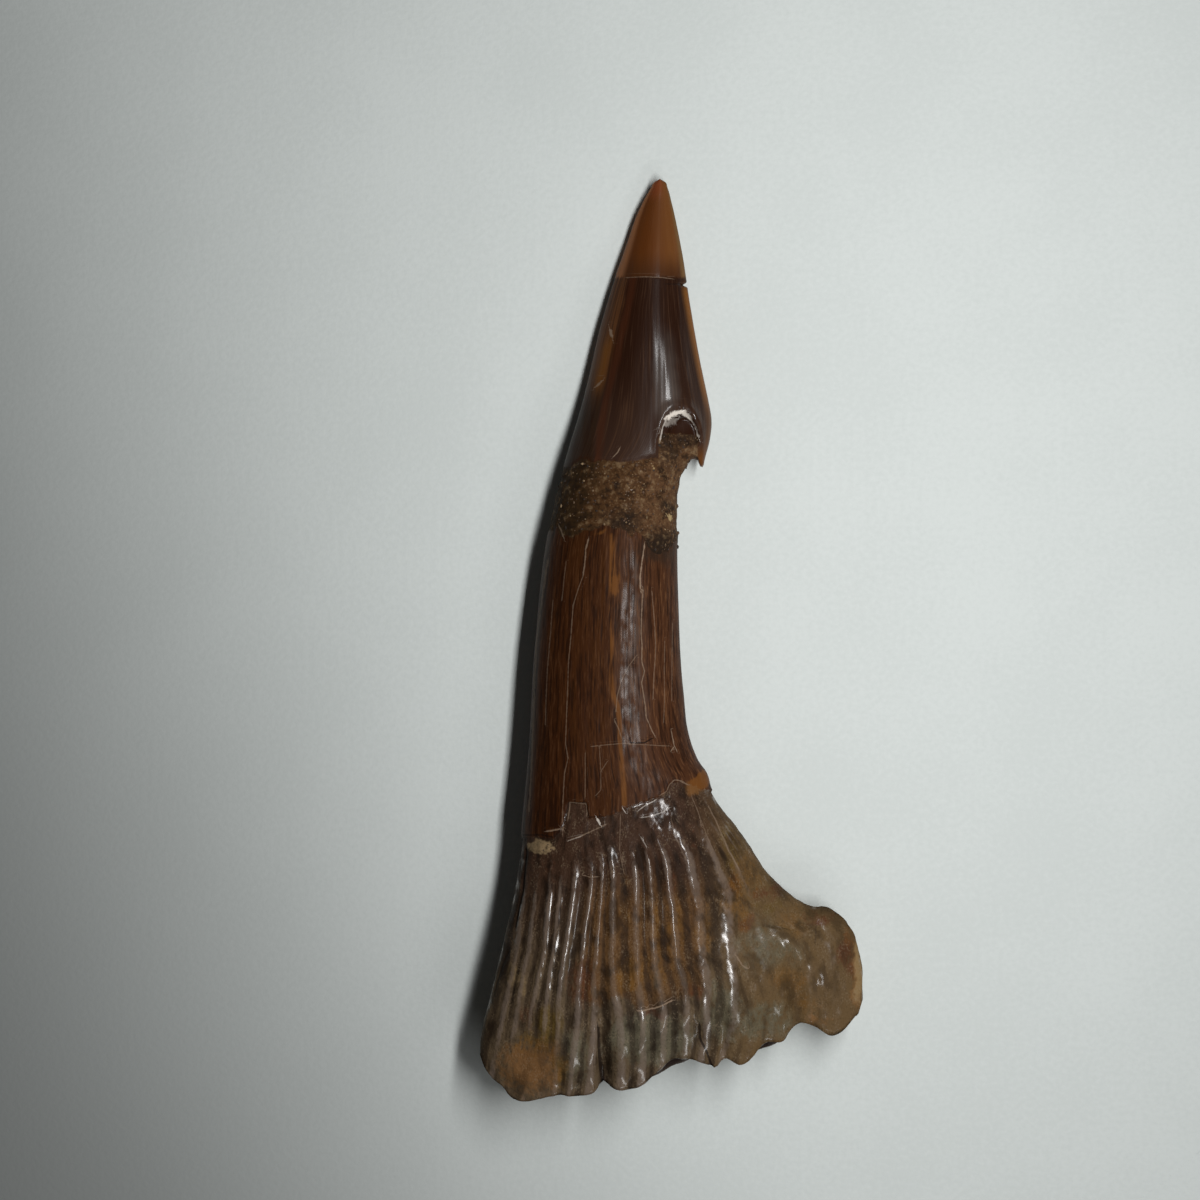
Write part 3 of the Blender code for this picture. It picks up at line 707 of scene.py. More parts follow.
    def ridge_wave(self, at: Places) -> tuple[np.ndarray, np.ndarray]:
        """The root's ridges as a wave, 1/2 + 1/2 cos(2 pi phase). The phase is a whole number on each ridge
        and a half in the furrow beyond it, by a place's share between the ridges' shares at its station.

        Returns:
            The wave, which is 1 on a ridge and 0 in a furrow, and the ridges' height there.
        """
        table = np.array(self.ridges)
        share = at.share + 0.006 * at.noise((1.5, 2.5, 9.0), 8, 2)
        columns = [np.interp(at.station, self.ridge_stations, row[:-1]) for row in table]
        edges = [np.full_like(share, -0.012), *columns, np.full_like(share, 1.012)]
        steps = [np.clip((share - low) / (high - low), 0.0, 1.0) for low, high in zip(edges, edges[1:])]
        phase = sum(steps) - 1.0
        height = np.interp(phase, np.arange(-1, len(table) + 1), [0.04, *table[:, -1], 0.04])
        return 0.5 + 0.5 * np.cos(2.0 * np.pi * phase), height

    def amber(self, at: Places) -> np.ndarray:
        """The clear amber edges of the crown: a narrow band on the right and a thinner one on the left."""
        width = np.interp(at.down, (0.0, 2.0, 6.0, 14.0, 17.0), (0.3, 2.1, 4.2, 7.8, 8.5))
        right = 1.0 - ramp((1.0 - at.share) * width, 0.1, 0.5)
        left = ramp(at.down, 9.0, 10.5) * (1.0 - ramp(at.down, 12.0, 13.5)) * bell(at.share * width, 0.7, 0.3)
        fade = ramp(at.down, 6.0, 7.0)
        return fade * np.maximum(right * (1.0 - 0.6 * ramp(at.down, 12.5, 15.0)), 0.6 * left)


@dataclass
class ToothRelief:
    """The fine relief of the tooth, in millimetres along the outward normal."""

    marks: ToothMarks
    enamel_step: float = 0.08
    shaft_step: float = 0.13
    grit_coarse: float = 0.07
    grit_fine: float = 0.025
    crumb: Spot = Spot(-7.2, 40.15, 0.95, 0.5)

    def flutes(self, at: Places) -> np.ndarray:
        """The root's ridges: height * (wave^1.4 - 0.45), faded in below the junction and out over the
        lobes."""
        wave, height = self.marks.ridge_wave(at)
        along = self.marks.ridges_show(at) * (1.0 - 0.45 * ramp(at.station, 48.5, 52.0))
        return height * along * (wave**1.4 - 0.45) * np.sin(np.pi * at.share) ** 0.3

    def crown(self, at: Places) -> np.ndarray:
        """The enamel stands proud of the neck, more so on its right, with a rolled rim round the pit. It
        swells right of its middle, carries faint striae and has a nick in its right edge."""
        inside, back = self.marks.crown(at), at.on_back
        above = ramp(inside, -0.05, 0.2)
        low = (1.0 - above) * (1.0 - ramp(at.down, 20.6, 21.8))
        step = -self.enamel_step * (0.4 + 0.6 * ramp(at.share, 0.15, 0.4)) * low
        rim = 0.06 * bell(inside, 0.22, 0.26) * ramp(at.down, 13.0, 14.0) * back * ramp(at.across, -0.8, 0.2)
        swelling = back * 0.12 * bell(at.across, 0.9, 0.85) * bell(at.down, 12.4, 3.0)
        shoulder = back * 0.14 * bell(at.across, 2.0, 0.8) * bell(at.down, 14.6, 1.6) * above
        striae = 0.007 * at.noise((0.16, 5.0, 3.0), 21, 2) + 0.012 * at.noise((0.7, 3.0, 3.0), 22, 2)
        nick = -0.3 * bell(at.down, 6.4, 0.09) * ramp(at.share, 0.86, 1.0)
        pit_reach = np.hypot(at.across - 1.1, (at.down - 15.0) * 0.8)
        hollow = -0.16 * (1.0 - above) * bell(pit_reach, 0.0, 0.7) * back
        return step + rim + swelling + shoulder + striae * above + nick + hollow

    def neck(self, at: Places) -> np.ndarray:
        """Lumps and grains on the neck, in the pit and on the crumb."""
        grit = self.grit(at)
        lumps = at.noise((0.75, 0.6, 0.7), 31, 3)
        grains = at.noise((0.18, 0.18, 0.18), 32, 2)
        return grit * (self.grit_coarse * lumps + self.grit_fine * grains)

    def grit(self, at: Places) -> np.ndarray:
        """Where gritty matrix covers the surface: the neck with the pit, and the crumb below the shaft."""
        above = 1.0 - ramp(self.marks.glazed(at), -0.05, 0.06)
        neck = above * (1.0 - ramp(self.marks.shaft(at), -0.2, 0.3))
        crumb = self.crumb.reach(at.across, at.down) + 0.25 * at.noise((0.3, 0.3, 0.5), 33)
        return np.maximum(neck, (1.0 - ramp(crumb, 0.75, 1.05)) * at.on_back)

    def shaft(self, at: Places) -> np.ndarray:
        """Long striae and shallow facets down the shaft, whose skin ends in a small ragged step."""
        on_shaft = ramp(self.marks.shaft(at), 0.0, 0.4) * (1.0 - ramp(self.marks.root(at), -0.1, 0.0))
        striae = 0.018 * at.noise((0.3, 6.0, 2.5), 41, 3) + 0.01 * at.noise((0.12, 3.0, 2.0), 42, 2)
        facets = 0.04 * at.noise((1.3, 12.0, 9.0), 43, 1)
        below = self.marks.root(at)
        step = -self.shaft_step * ramp(below, -0.04, 0.08) * (1.0 - ramp(below, 0.3, 2.4))
        in_middle = bell(below, 0.7, 0.7) * ramp(at.across, -4.6, -3.0)
        ledges = 0.05 * at.noise((1.2, 0.35, 1.0), 44, 2) * in_middle
        return on_shaft * (striae + facets) + step + ledges

    def root(self, at: Places) -> np.ndarray:
        """Bumps over the root, coarser on its lobes, and the matt patch sunk a little below its rim."""
        on_root = ramp(self.marks.root(at), 0.1, 0.8) * at.kept
        bumps = 0.03 * at.noise((0.9, 1.6, 1.5), 51, 2) + 0.024 * at.noise((0.24, 0.36, 0.36), 52, 2)
        bumps = bumps + 0.04 * at.noise((0.45, 0.6, 0.6), 55, 2) * (0.5 + 0.5 * ramp(at.across, 1.5, 4.0))
        on_lobes = np.maximum(ramp(at.station, 49.5, 51.5), self.marks.smoothness(at))
        lobes = 0.06 * at.noise((1.1, 1.3, 1.5), 53, 2) * on_lobes
        patch = self.marks.patch(at)
        return on_root * (bumps + lobes) - patch * (0.05 - 0.03 * at.noise((0.25, 0.25, 0.4), 54, 2))

    def cracks(self, at: Places) -> np.ndarray:
        """Grooves along the cracks and slits: depth * strength * e^-((distance / 1.1)^2)."""
        cut = 0.0
        for lines in (self.marks.pale_lines, self.marks.dark_lines):
            offset, strength, depth = nearest_line(lines, at.across, at.down)
            cut = cut + depth * strength * bell(offset, 0.0, 1.1)
        return -at.on_back * cut

    def total(self, at: Places) -> np.ndarray:
        """The sum of all relief, faded out at the very tip and down the basal groove."""
        parts = (self.flutes, self.crown, self.neck, self.shaft, self.root, self.cracks)
        relief = sum(part(at) for part in parts)
        return relief * ramp(at.station, 0.0, 0.35) * at.kept


class Wire:
    """A number on its way through the nodes: an expression on it adds the Math nodes that work it out."""

    def __init__(self, desk: "Desk", socket: bpy.types.NodeSocket) -> None:
        """Takes the output socket that carries the number."""
        self.desk = desk
        self.socket = socket

    def joined(self, operation: str, first: object, second: object) -> "Wire":
        """The result of a Math node on two numbers.

        Args:
            operation: the Math node's operation.
            first: a Wire or a plain number.
            second: a Wire or a plain number.

        Returns:
            The result.
        """
        node = self.desk.add("ShaderNodeMath", {"operation": operation}, {0: first, 1: second})
        return Wire(self.desk, node.outputs[0])

    def __add__(self, other: object) -> "Wire":
        """self + other."""
        return self.joined("ADD", self, other)

    def __radd__(self, other: object) -> "Wire":
        """other + self."""
        return self.joined("ADD", other, self)

    def __sub__(self, other: object) -> "Wire":
        """self - other."""
        return self.joined("SUBTRACT", self, other)

    def __rsub__(self, other: object) -> "Wire":
        """other - self."""
        return self.joined("SUBTRACT", other, self)

    def __mul__(self, other: object) -> "Wire":
        """self * other."""
        return self.joined("MULTIPLY", self, other)

    def __rmul__(self, other: object) -> "Wire":
        """other * self."""
        return self.joined("MULTIPLY", other, self)

    def __abs__(self) -> "Wire":
        """The size of self without its sign."""
        return self.joined("ABSOLUTE", self, 0.0)


@dataclass
class Layer:
    """What a finish gives at each place: its colour, its roughness, its height in millimetres, and how much
    of a clear gloss lies over it."""

    colour: object
    roughness: object
    height: object
    coat: object = 0.0


class Desk:
    """The node tree of one material, with the coordinates that its finishes share."""

    def __init__(self, name: str) -> None:
        """Starts a material of that name with one Principled shader."""
        self.material = bpy.data.materials.new(name)
        self.material.use_nodes = True
        self.tree = self.material.node_tree
        self.shader = self.tree.nodes["Principled BSDF"]
        place = self.add("ShaderNodeTexCoord").outputs["Object"]
        scaled = self.add("ShaderNodeVectorMath", {"operation": "SCALE"}, {0: place, "Scale": 1.0 / MM})
        self.place = scaled.outputs[0]
        self.down = TIP_Y_MM - Wire(self, self.add("ShaderNodeSeparateXYZ", {}, {0: self.place}).outputs[1])

    def add(
        self,
        kind: str,
        settings: dict[str, object] | None = None,
        inputs: dict[int | str, object] | None = None,
    ) -> bpy.types.Node:
        """Adds a node.

        Args:
            kind: the node's type.
            settings: the node's own settings, which are set first.
            inputs: for a socket's name or number, a Wire or socket to link, or a value.

        Returns:
            The node.
        """
        node = self.tree.nodes.new(kind)
        for name, value in (settings or {}).items():
            setattr(node, name, value)
        for name, value in (inputs or {}).items():
            source = value.socket if isinstance(value, Wire) else value
            if isinstance(source, bpy.types.NodeSocket):
                self.tree.links.new(source, node.inputs[name])
            else:
                node.inputs[name].default_value = source
        return node

    def mask(self, name: str) -> Wire:
        """The number that the mesh's attribute of that name holds."""
        return Wire(self, self.add("ShaderNodeAttribute", {"attribute_name": name}).outputs["Fac"])

    def step(self, value: Wire, low: float, high: float) -> Wire:
        """0 below low, 1 above high, and a smooth step between them."""
        settings = {"interpolation_type": "SMOOTHSTEP"}
        inputs = {0: value, 1: low, 2: high, 3: 0.0, 4: 1.0}
        return Wire(self, self.add("ShaderNodeMapRange", settings, inputs).outputs[0])

    def noise(self, place: object, sizes: Triple, shifts: Triple, detail: float) -> Wire:
        """Noise from 0 to 1.

        Args:
            place: the socket of the coordinates that it is read at.
            sizes: the size of its blotches along each of them, in millimetres.
            shifts: how far it is moved along each, so that two noises differ.
            detail: how many finer layers it has.

        Returns:
            The noise.
        """
        shape = {0: place, 1: tuple(1.0 / size for size in sizes), 2: shifts}
        vector = self.add("ShaderNodeVectorMath", {"operation": "MULTIPLY_ADD"}, shape).outputs[0]
        noise = self.add("ShaderNodeTexNoise", {}, {"Vector": vector, "Scale": 1.0, "Detail": detail})
        return Wire(self, noise.outputs["Fac"])

    def speckle(self, sizes: Triple, detail: float, shift: float) -> Wire:
        """Noise in the object's own space, with blotches of these sizes across, along and up."""
        return self.noise(self.place, sizes, (shift, shift * 1.7, shift * 0.6), detail)

    def streaks(self, width: float, length: float, shift: float, detail: float = 3.0) -> Wire:
        """Noise drawn out along the tooth, on its own UV map, whose unit is about a millimetre."""
        lay = self.add("ShaderNodeUVMap", {"uv_map": "lay"}).outputs[0]
        return self.noise(lay, (width, length, 1.0), (shift, shift * 0.3, shift), detail)

    def blend(self, factor: Wire, low: object, high: object) -> bpy.types.NodeSocket:
        """The colour low where factor is 0 and high where it is 1."""
        return self.add("ShaderNodeMix", {"data_type": "RGBA"}, {0: factor, 6: low, 7: high}).outputs[2]

    def coats(self, colour: object, *coats: tuple[Wire, object]) -> object:
        """A colour with others laid over it in turn, each where its own factor is 1."""
        for factor, over in coats:
            colour = self.blend(factor, colour, over)
        return colour

    def cover(self, factor: Wire, under: Layer, over: Layer) -> Layer:
        """The layer over laid on the layer under where factor is 1."""
        return Layer(
            self.blend(factor, under.colour, over.colour),
            under.roughness + factor * (over.roughness - under.roughness),
            under.height + factor * (over.height - under.height),
            under.coat + factor * (over.coat - under.coat),
        )

    def finish(self, layer: Layer) -> bpy.types.Material:
        """Links a layer to the shader, its height through a bump."""
        bump = self.add("ShaderNodeBump", {}, {"Height": layer.height, "Distance": MM, "Strength": 1.0})
        sources = {
            "Base Color": layer.colour,
            "Roughness": layer.roughness.socket,
            "Normal": bump.outputs[0],
        }
        if isinstance(layer.coat, Wire):
            sources["Coat Weight"] = layer.coat.socket
        for name, source in sources.items():
            self.tree.links.new(source, self.shader.inputs[name])
        return self.material


@dataclass(frozen=True)
class CrownFinish:
    """Clear brown enamel over a nearly black core that stops short of the tip."""

    point: Pigment = pigment(124, 64, 35)
    clear: Pigment = pigment(92, 50, 20)
    clear_light: Pigment = pigment(110, 68, 34)
    band: Pigment = pigment(74, 43, 22)
    rim_left: Pigment = pigment(160, 106, 68)
    rim_right: Pigment = pigment(112, 82, 48)
    core: Pigment = pigment(42, 22, 12)
    core_streak: Pigment = pigment(78, 54, 38)
    # Painted highlight: the pale grey laid on the crown where the lamp's reflection lies.
    painted_highlight: Pigment = pigment(112, 106, 100)
    core_low: Pigment = pigment(58, 40, 31)
    flank: Pigment = pigment(96, 60, 34)
    flank_low: Pigment = pigment(54, 36, 24)
    ember: Pigment = pigment(78, 40, 22)
    amber: Pigment = pigment(122, 75, 24)
    barb: Pigment = pigment(98, 58, 32)
    core_start: float = 6.0

    def paint(self, desk: Desk) -> Layer:
        """The tip darkens from its reddish point to the core. The core has fine streaks along it, greys
        towards the neck, carries a painted highlight right of its middle, and glows red along its left border,
        beyond which the flank is clearer."""
        down, share = desk.down, desk.mask("share")
        fine, thread = desk.streaks(0.16, 4.0, 3.1), desk.streaks(0.06, 1.6, 8.1)
        wide = desk.streaks(0.9, 9.0, 7.7)
        inside = desk.mask("core") + 0.5 * (fine - 0.5)
        tip = desk.coats(
            self.point,
            (desk.step(down, 0.3, 1.6), self.clear),
            (desk.step(share + 0.5 * wide, 0.6, 1.1), self.clear_light),
            (desk.step(down + 0.8 * wide, 4.6, 6.4), self.band),
            (desk.step(share, 0.16, 0.05) * 0.8, self.rim_left),
            (desk.step(share, 0.9, 0.97), self.rim_right),
        )
        flank = desk.coats(
            self.flank,
            (desk.step(down + 2.0 * wide, 12.0, 15.5), self.flank_low),
            (desk.step(fine, 0.42, 0.68) * 0.6, self.core),
        )
        core = desk.coats(
            self.core,
            (desk.step(down + 4.0 * wide, 12.0, 19.0), self.core_low),
            (desk.step(fine + 0.5 * thread, 0.72, 1.1) * 0.8, self.core_streak),
            # Painted highlight on the crown, at the last spot of the gloss mask.
            (desk.mask("gloss") * (0.3 + 0.5 * fine) * (0.35 + 0.75 * wide), self.painted_highlight),
            (desk.step(down - 3.0 * share, 13.0, 15.0) * desk.step(share, 0.88, 0.95), self.barb),
            (desk.step(abs(inside - 0.35), 0.4, 0.05) * 0.5, self.ember),
            (desk.step(inside, 0.1, -0.12), flank),
        )
        start = down + 0.35 * (fine - 0.5)
        colour = desk.coats(
            tip,
            (desk.step(start, self.core_start - 0.14, self.core_start + 0.12), core),
            (desk.mask("amber") * (0.5 + fine), self.amber),
            (desk.mask("pit") * 0.85, self.core),
        )
        coat = desk.step(share, 0.1, 0.4) * desk.step(share, 0.94, 0.8) * (0.3 + 0.75 * wide)
        coat = coat * (0.25 + 0.75 * desk.step(down, 7.5, 11.5)) * (0.2 + 0.8 * desk.step(down, 16.6, 15.0))
        coat = coat * desk.step(desk.mask("enamel"), 0.1, 0.7) + desk.mask("lip")
        return Layer(colour, 0.3 + 0.16 * wide, 0.012 * fine + 0.01 * thread + 0.01 * wide, coat)


@dataclass(frozen=True)
class GritFinish:
    """A sandy crust: dark olive on the left, brown in the middle and lighter on the right."""

    olive: Pigment = pigment(56, 39, 21)
    brown: Pigment = pigment(76, 51, 29)
    light: Pigment = pigment(91, 64, 42)
    crumb: Pigment = pigment(140, 118, 88)
    dark: Pigment = pigment(34, 23, 15)
    soot: Pigment = pigment(36, 27, 20)
    mustard: Pigment = pigment(134, 108, 76)
    tan: Pigment = pigment(166, 142, 102)

    def paint(self, desk: Desk) -> Layer:
        """Cloudy blotches, small specks dark and mustard, and a few pale and sooty places."""
        share, down = desk.mask("share"), desk.down
        clouds = desk.speckle((0.7, 0.55, 0.7), 4.0, 4.2)
        blots, specks = desk.speckle((0.26,) * 3, 3.0, 5.2), desk.speckle((0.11,) * 3, 2.0, 1.3)
        drift = clouds - 0.5
        place = share + 1.1 * drift
        light = desk.step(specks + 0.35 * blots, 0.74, 0.86) * desk.step(share, 0.2, 0.6)
        colour = desk.coats(
            self.olive,
            (desk.step(place, 0.12, 0.42), self.brown),
            (desk.step(place, 0.5, 0.85), self.light),
            (desk.step(down + 0.8 * drift, 16.8, 15.5) * 0.5, self.soot),
            (desk.step(down + 1.2 * drift, 21.2, 22.2) * 0.6, self.dark),
            (desk.step(down, 30.0, 32.0), self.crumb),
            (desk.step(0.6 * clouds + 0.4 * blots, 0.5, 0.36) * 0.7, self.dark),
            (desk.step(0.6 * clouds + 0.4 * blots, 0.52, 0.64) * 0.4, self.crumb),
            (desk.step(specks + 0.3 * blots, 0.6, 0.5) * 0.32, self.dark),
            (light * 0.36, self.mustard),
            (desk.mask("soot") * desk.step(blots, 0.78, 0.45), self.soot),
            (desk.step(desk.mask("tan") + specks - 0.5, 0.35, 0.8), self.tan),
        )
        height, coat = 0.034 * blots + 0.02 * specks, 0.3 * desk.step(specks, 0.6, 0.8)
        return Layer(colour, 0.6 + 0.25 * blots, height, coat)


@dataclass(frozen=True)
class ShaftFinish:
    """Dark red-brown skin with threads down the shaft, glossy only in places."""

    dark: Pigment = pigment(56, 29, 12)
    brown: Pigment = pigment(67, 37, 15)
    right: Pigment = pigment(72, 43, 25)
    thread: Pigment = pigment(112, 76, 48)
    shadow: Pigment = pigment(28, 14, 7)
    # Painted sheen: the greyer colour laid where the shaft is glossy.
    gloss: Pigment = pigment(82, 64, 54)
    # Painted reflection: the greyer colour along the shaft's left edge, where it mirrors the lit sheet.
    edge: Pigment = pigment(70, 52, 42)
    orange: Pigment = pigment(122, 76, 32)
    soot: Pigment = pigment(52, 37, 27)

    def paint(self, desk: Desk) -> Layer:
        """Wide bands from dark to brown, fine threads light and dark, a painted grey sheen on the glossy
        places, a painted reflection along the left edge, and rusty places.
        """
        share, gloss = desk.mask("share"), desk.mask("gloss")
        bands, fine = desk.streaks(0.55, 9.0, 11.0), desk.streaks(0.13, 2.0, 5.5)
        hair, cloud = desk.streaks(0.06, 0.8, 2.5), desk.speckle((0.45, 0.7, 0.6), 5.0, 3.3)
        drift = cloud - 0.5
        light = desk.step(hair + 0.6 * fine, 0.85, 1.0) * (0.2 + 0.35 * desk.step(share, 0.3, 0.8))
        stain = desk.step(desk.mask("orange") + 0.9 * drift + 0.6 * (fine - 0.5), 0.25, 0.9)
        rusty = desk.mask("streak") * desk.step(fine + bands, 0.7, 1.1) + stain
        colour = desk.coats(
            self.dark,
            (desk.step(bands + 0.7 * share, 0.55, 0.95), self.brown),
            (desk.step(share + 0.3 * (bands - 0.5), 0.5, 0.7), self.right),
            # Painted reflection along the left edge.
            (desk.step(share, 0.07, 0.02), self.edge),
            # Painted sheen over the glossy places.
            (gloss * desk.step(cloud + 0.3 * fine, 0.42, 0.72), self.gloss),
            (desk.step(fine + 0.4 * hair, 0.7, 0.55) * 0.65, self.shadow),
            (light, self.thread),
            (desk.step(rusty, 0.0, 1.1) * 0.65, self.orange),
            (desk.step(desk.mask("soot") + 1.6 * drift, 0.2, 1.0) * 0.8, self.soot),
        )
        coat = (0.03 + 0.22 * gloss) * desk.step(cloud + 0.4 * fine, 0.55, 0.95)
        return Layer(colour, 0.56 - 0.1 * bands, 0.014 * fine + 0.03 * cloud + 0.006 * hair, coat)


@dataclass(frozen=True)
class RootFinish:
    """Mottled grey-brown bone with stains of iron and clay, glossier on its ridges."""

    top: Pigment = pigment(66, 46, 34)
    low: Pigment = pigment(94, 78, 59)
    wing: Pigment = pigment(100, 79, 52)
    # Painted shade in the furrows between the ridges.
    furrow: Pigment = pigment(34, 23, 15)
    # Painted highlight on the ridges' crests.
    crest: Pigment = pigment(124, 108, 96)
    patch: Pigment = pigment(98, 68, 38)
    dark: Pigment = pigment(28, 19, 12)
    pale: Pigment = pigment(140, 122, 98)
    stains: tuple[tuple[str, Pigment, float], ...] = (
        ("green_grey", pigment(96, 92, 75), 0.75),
        ("rust", pigment(84, 44, 25), 0.75),
        ("ochre", pigment(116, 80, 34), 0.7),
        ("olive", pigment(92, 72, 26), 0.75),
        ("orange", pigment(130, 88, 46), 0.62),
        ("tan", pigment(142, 118, 82), 0.8),
    )
    # Painted shade: the darker colour inside the basal groove.
    inside: Pigment = pigment(46, 34, 30)

    def paint(self, desk: Desk) -> Layer:
        """A painted highlight on the ridges and painted shade in the furrows, then the patch and each stain
        broken up by the grain of the bone, and a mottle of three sizes over all."""
        grain, drawn = desk.streaks(0.22, 1.1, 2.2), desk.streaks(0.4, 1.8, 7.1, 4.0)
        mottle, blots = desk.speckle((0.6, 1.0, 0.8), 4.0, 6.1), desk.speckle((0.2, 0.3, 0.25), 3.0, 4.4)
        pits = desk.speckle((0.09, 0.12, 0.1), 2.0, 8.8)
        ridge, matt, wing, glint = (desk.mask(name) for name in ("ridge", "patch", "wing", "glint"))
        stains = []
        for name, stain, strength in self.stains:
            amount = desk.step(desk.mask(name) + 0.9 * (mottle - 0.5) + 0.7 * (blots - 0.5), 0.2, 0.75)
            stains.append((amount * desk.step(desk.mask(name), 0.02, 0.3) * strength, stain))
        clean = (1.0 - 0.35 * wing) * (1.0 - 0.6 * desk.mask("orange"))
        # Painted highlight: how much of the crest colour each ridge gets.
        light = desk.step(ridge + 0.8 * (grain - 0.5) + 0.5 * (blots - 0.5), 0.55, 1.0) * 0.55
        colour = desk.coats(
            self.top,
            (desk.mask("low"), self.low),
            (wing, self.wing),
            (matt * desk.step(mottle - 0.25 * ridge, 0.0, 0.35) * 0.8, self.patch),
            *stains,
            # Painted shade in the furrows.
            (desk.step(ridge + 0.4 * (grain - 0.5), 0.28, 0.02) * 0.6, self.furrow),
            (desk.step(0.65 * drawn + 0.35 * mottle, 0.54, 0.38) * 0.7 * clean, self.dark),
            (desk.step(pits + 0.5 * blots, 0.68, 0.52) * 0.4 * clean, self.dark),
            # Painted highlight on the ridges.
            (light * (1.0 - 0.5 * matt), self.crest),
            (desk.step(pits + 0.7 * mottle, 0.92, 1.12) * 0.3, self.pale),
            # Painted shade inside the basal groove.
            (desk.step(desk.mask("kept"), 0.97, 0.7), self.inside),
        )
        shiny = desk.step(0.7 * ridge + 1.3 * (mottle - 0.5) + 0.6 * (grain - 0.5), 0.2, 0.6)
        shiny = shiny * (1.0 - 0.7 * matt)
        broken = desk.step(blots + 0.5 * grain + 0.5 * glint, 0.62, 0.95)
        coat = desk.step(shiny + 0.6 * glint, 0.1, 1.0) * (0.1 + broken)
        return Layer(colour, 0.56 - 0.16 * shiny, 0.06 * blots + 0.02 * grain + 0.015 * pits, coat)


@dataclass(frozen=True)
class CrackFinish:
    """Pale filling in the hairline cracks, nearly black open slits, and white painted highlights, in part
    chipped pale edges; one pale line is a painted reflection along the shaft's left edge.
    """

    pale: Pigment = pigment(146, 124, 104)
    # Painted highlight: the white of the lines on the arch's rim and the junction's ledges, in part chipped
    # edges.
    white: Pigment = pigment(226, 216, 204)
    dark: Pigment = pigment(22, 14, 11)

    def shown(self, desk: Desk, name: str, broken: Wire, gone: float, full: float) -> Wire:
        """How strongly the lines of one kind show: from nothing where their distance and the breaks add up to
        gone, to all where they add up to full."""
        return desk.step(abs(desk.mask(name)) + broken, gone, full) * desk.mask(f"{name}_strength")

    def fill(self, desk: Desk, layer: Layer) -> Layer:
        """Draws the cracks, and the white lines that are painted highlights and in part chipped edges, over a
        layer.
        """
        broken = desk.speckle((0.16, 0.22, 0.22), 4.0, 9.9)
        pale = self.shown(desk, "pale", 2.4 * broken, 2.5, 1.6)
        dark = self.shown(desk, "dark", broken, 1.8, 1.1)
        # White lines: painted highlights, in part chipped edges.
        white = self.shown(desk, "white", 2.4 * broken, 2.6, 1.7)
        return Layer(
            desk.coats(layer.colour, (pale, self.pale), (dark, self.dark), (white, self.white)),
            layer.roughness + 0.1 * (pale + dark),
            layer.height + 0.01 * pale - 0.03 * dark,
            layer.coat,
        )


@dataclass(frozen=True)
class FossilFinish:
    """The tooth's whole skin, one finish to each zone from the tip to the root."""

    crown: CrownFinish = CrownFinish()
    grit: GritFinish = GritFinish()
    shaft: ShaftFinish = ShaftFinish()
    root: RootFinish = RootFinish()
    cracks: CrackFinish = CrackFinish()
    specular: float = 0.06
    coat_roughness: float = 0.16

    def make(self) -> bpy.types.Material:
        """Lays the zones over each other by their margins, which are softer on the left of the neck, then the
        grit and the cracks.

        Returns:
            The material.
        """
        desk = Desk("polished_fossil")
        ragged = desk.speckle((0.2, 0.3, 0.3), 3.0, 2.7) - 0.5
        shaft, root = self.shaft.paint(desk), self.root.paint(desk)
        sharp = 0.12 + 0.88 * desk.step(desk.mask("share"), 0.15, 0.4)
        layer = desk.cover(desk.step(desk.mask("root") + 0.3 * ragged, -0.03, 0.06), shaft, root)
        grit = desk.step((desk.mask("grit") - 0.5 + ragged) * (0.4 + sharp), -0.15, 0.15)
        layer = desk.cover(grit, layer, self.grit.paint(desk))
        enamel = desk.step((desk.mask("enamel") + 0.12 * ragged) * sharp, -0.04, 0.06)
        layer = self.cracks.fill(desk, desk.cover(enamel, layer, self.crown.paint(desk)))
        desk.shader.inputs["Specular IOR Level"].default_value = self.specular
        desk.shader.inputs["Coat Roughness"].default_value = self.coat_roughness
        return desk.finish(layer)


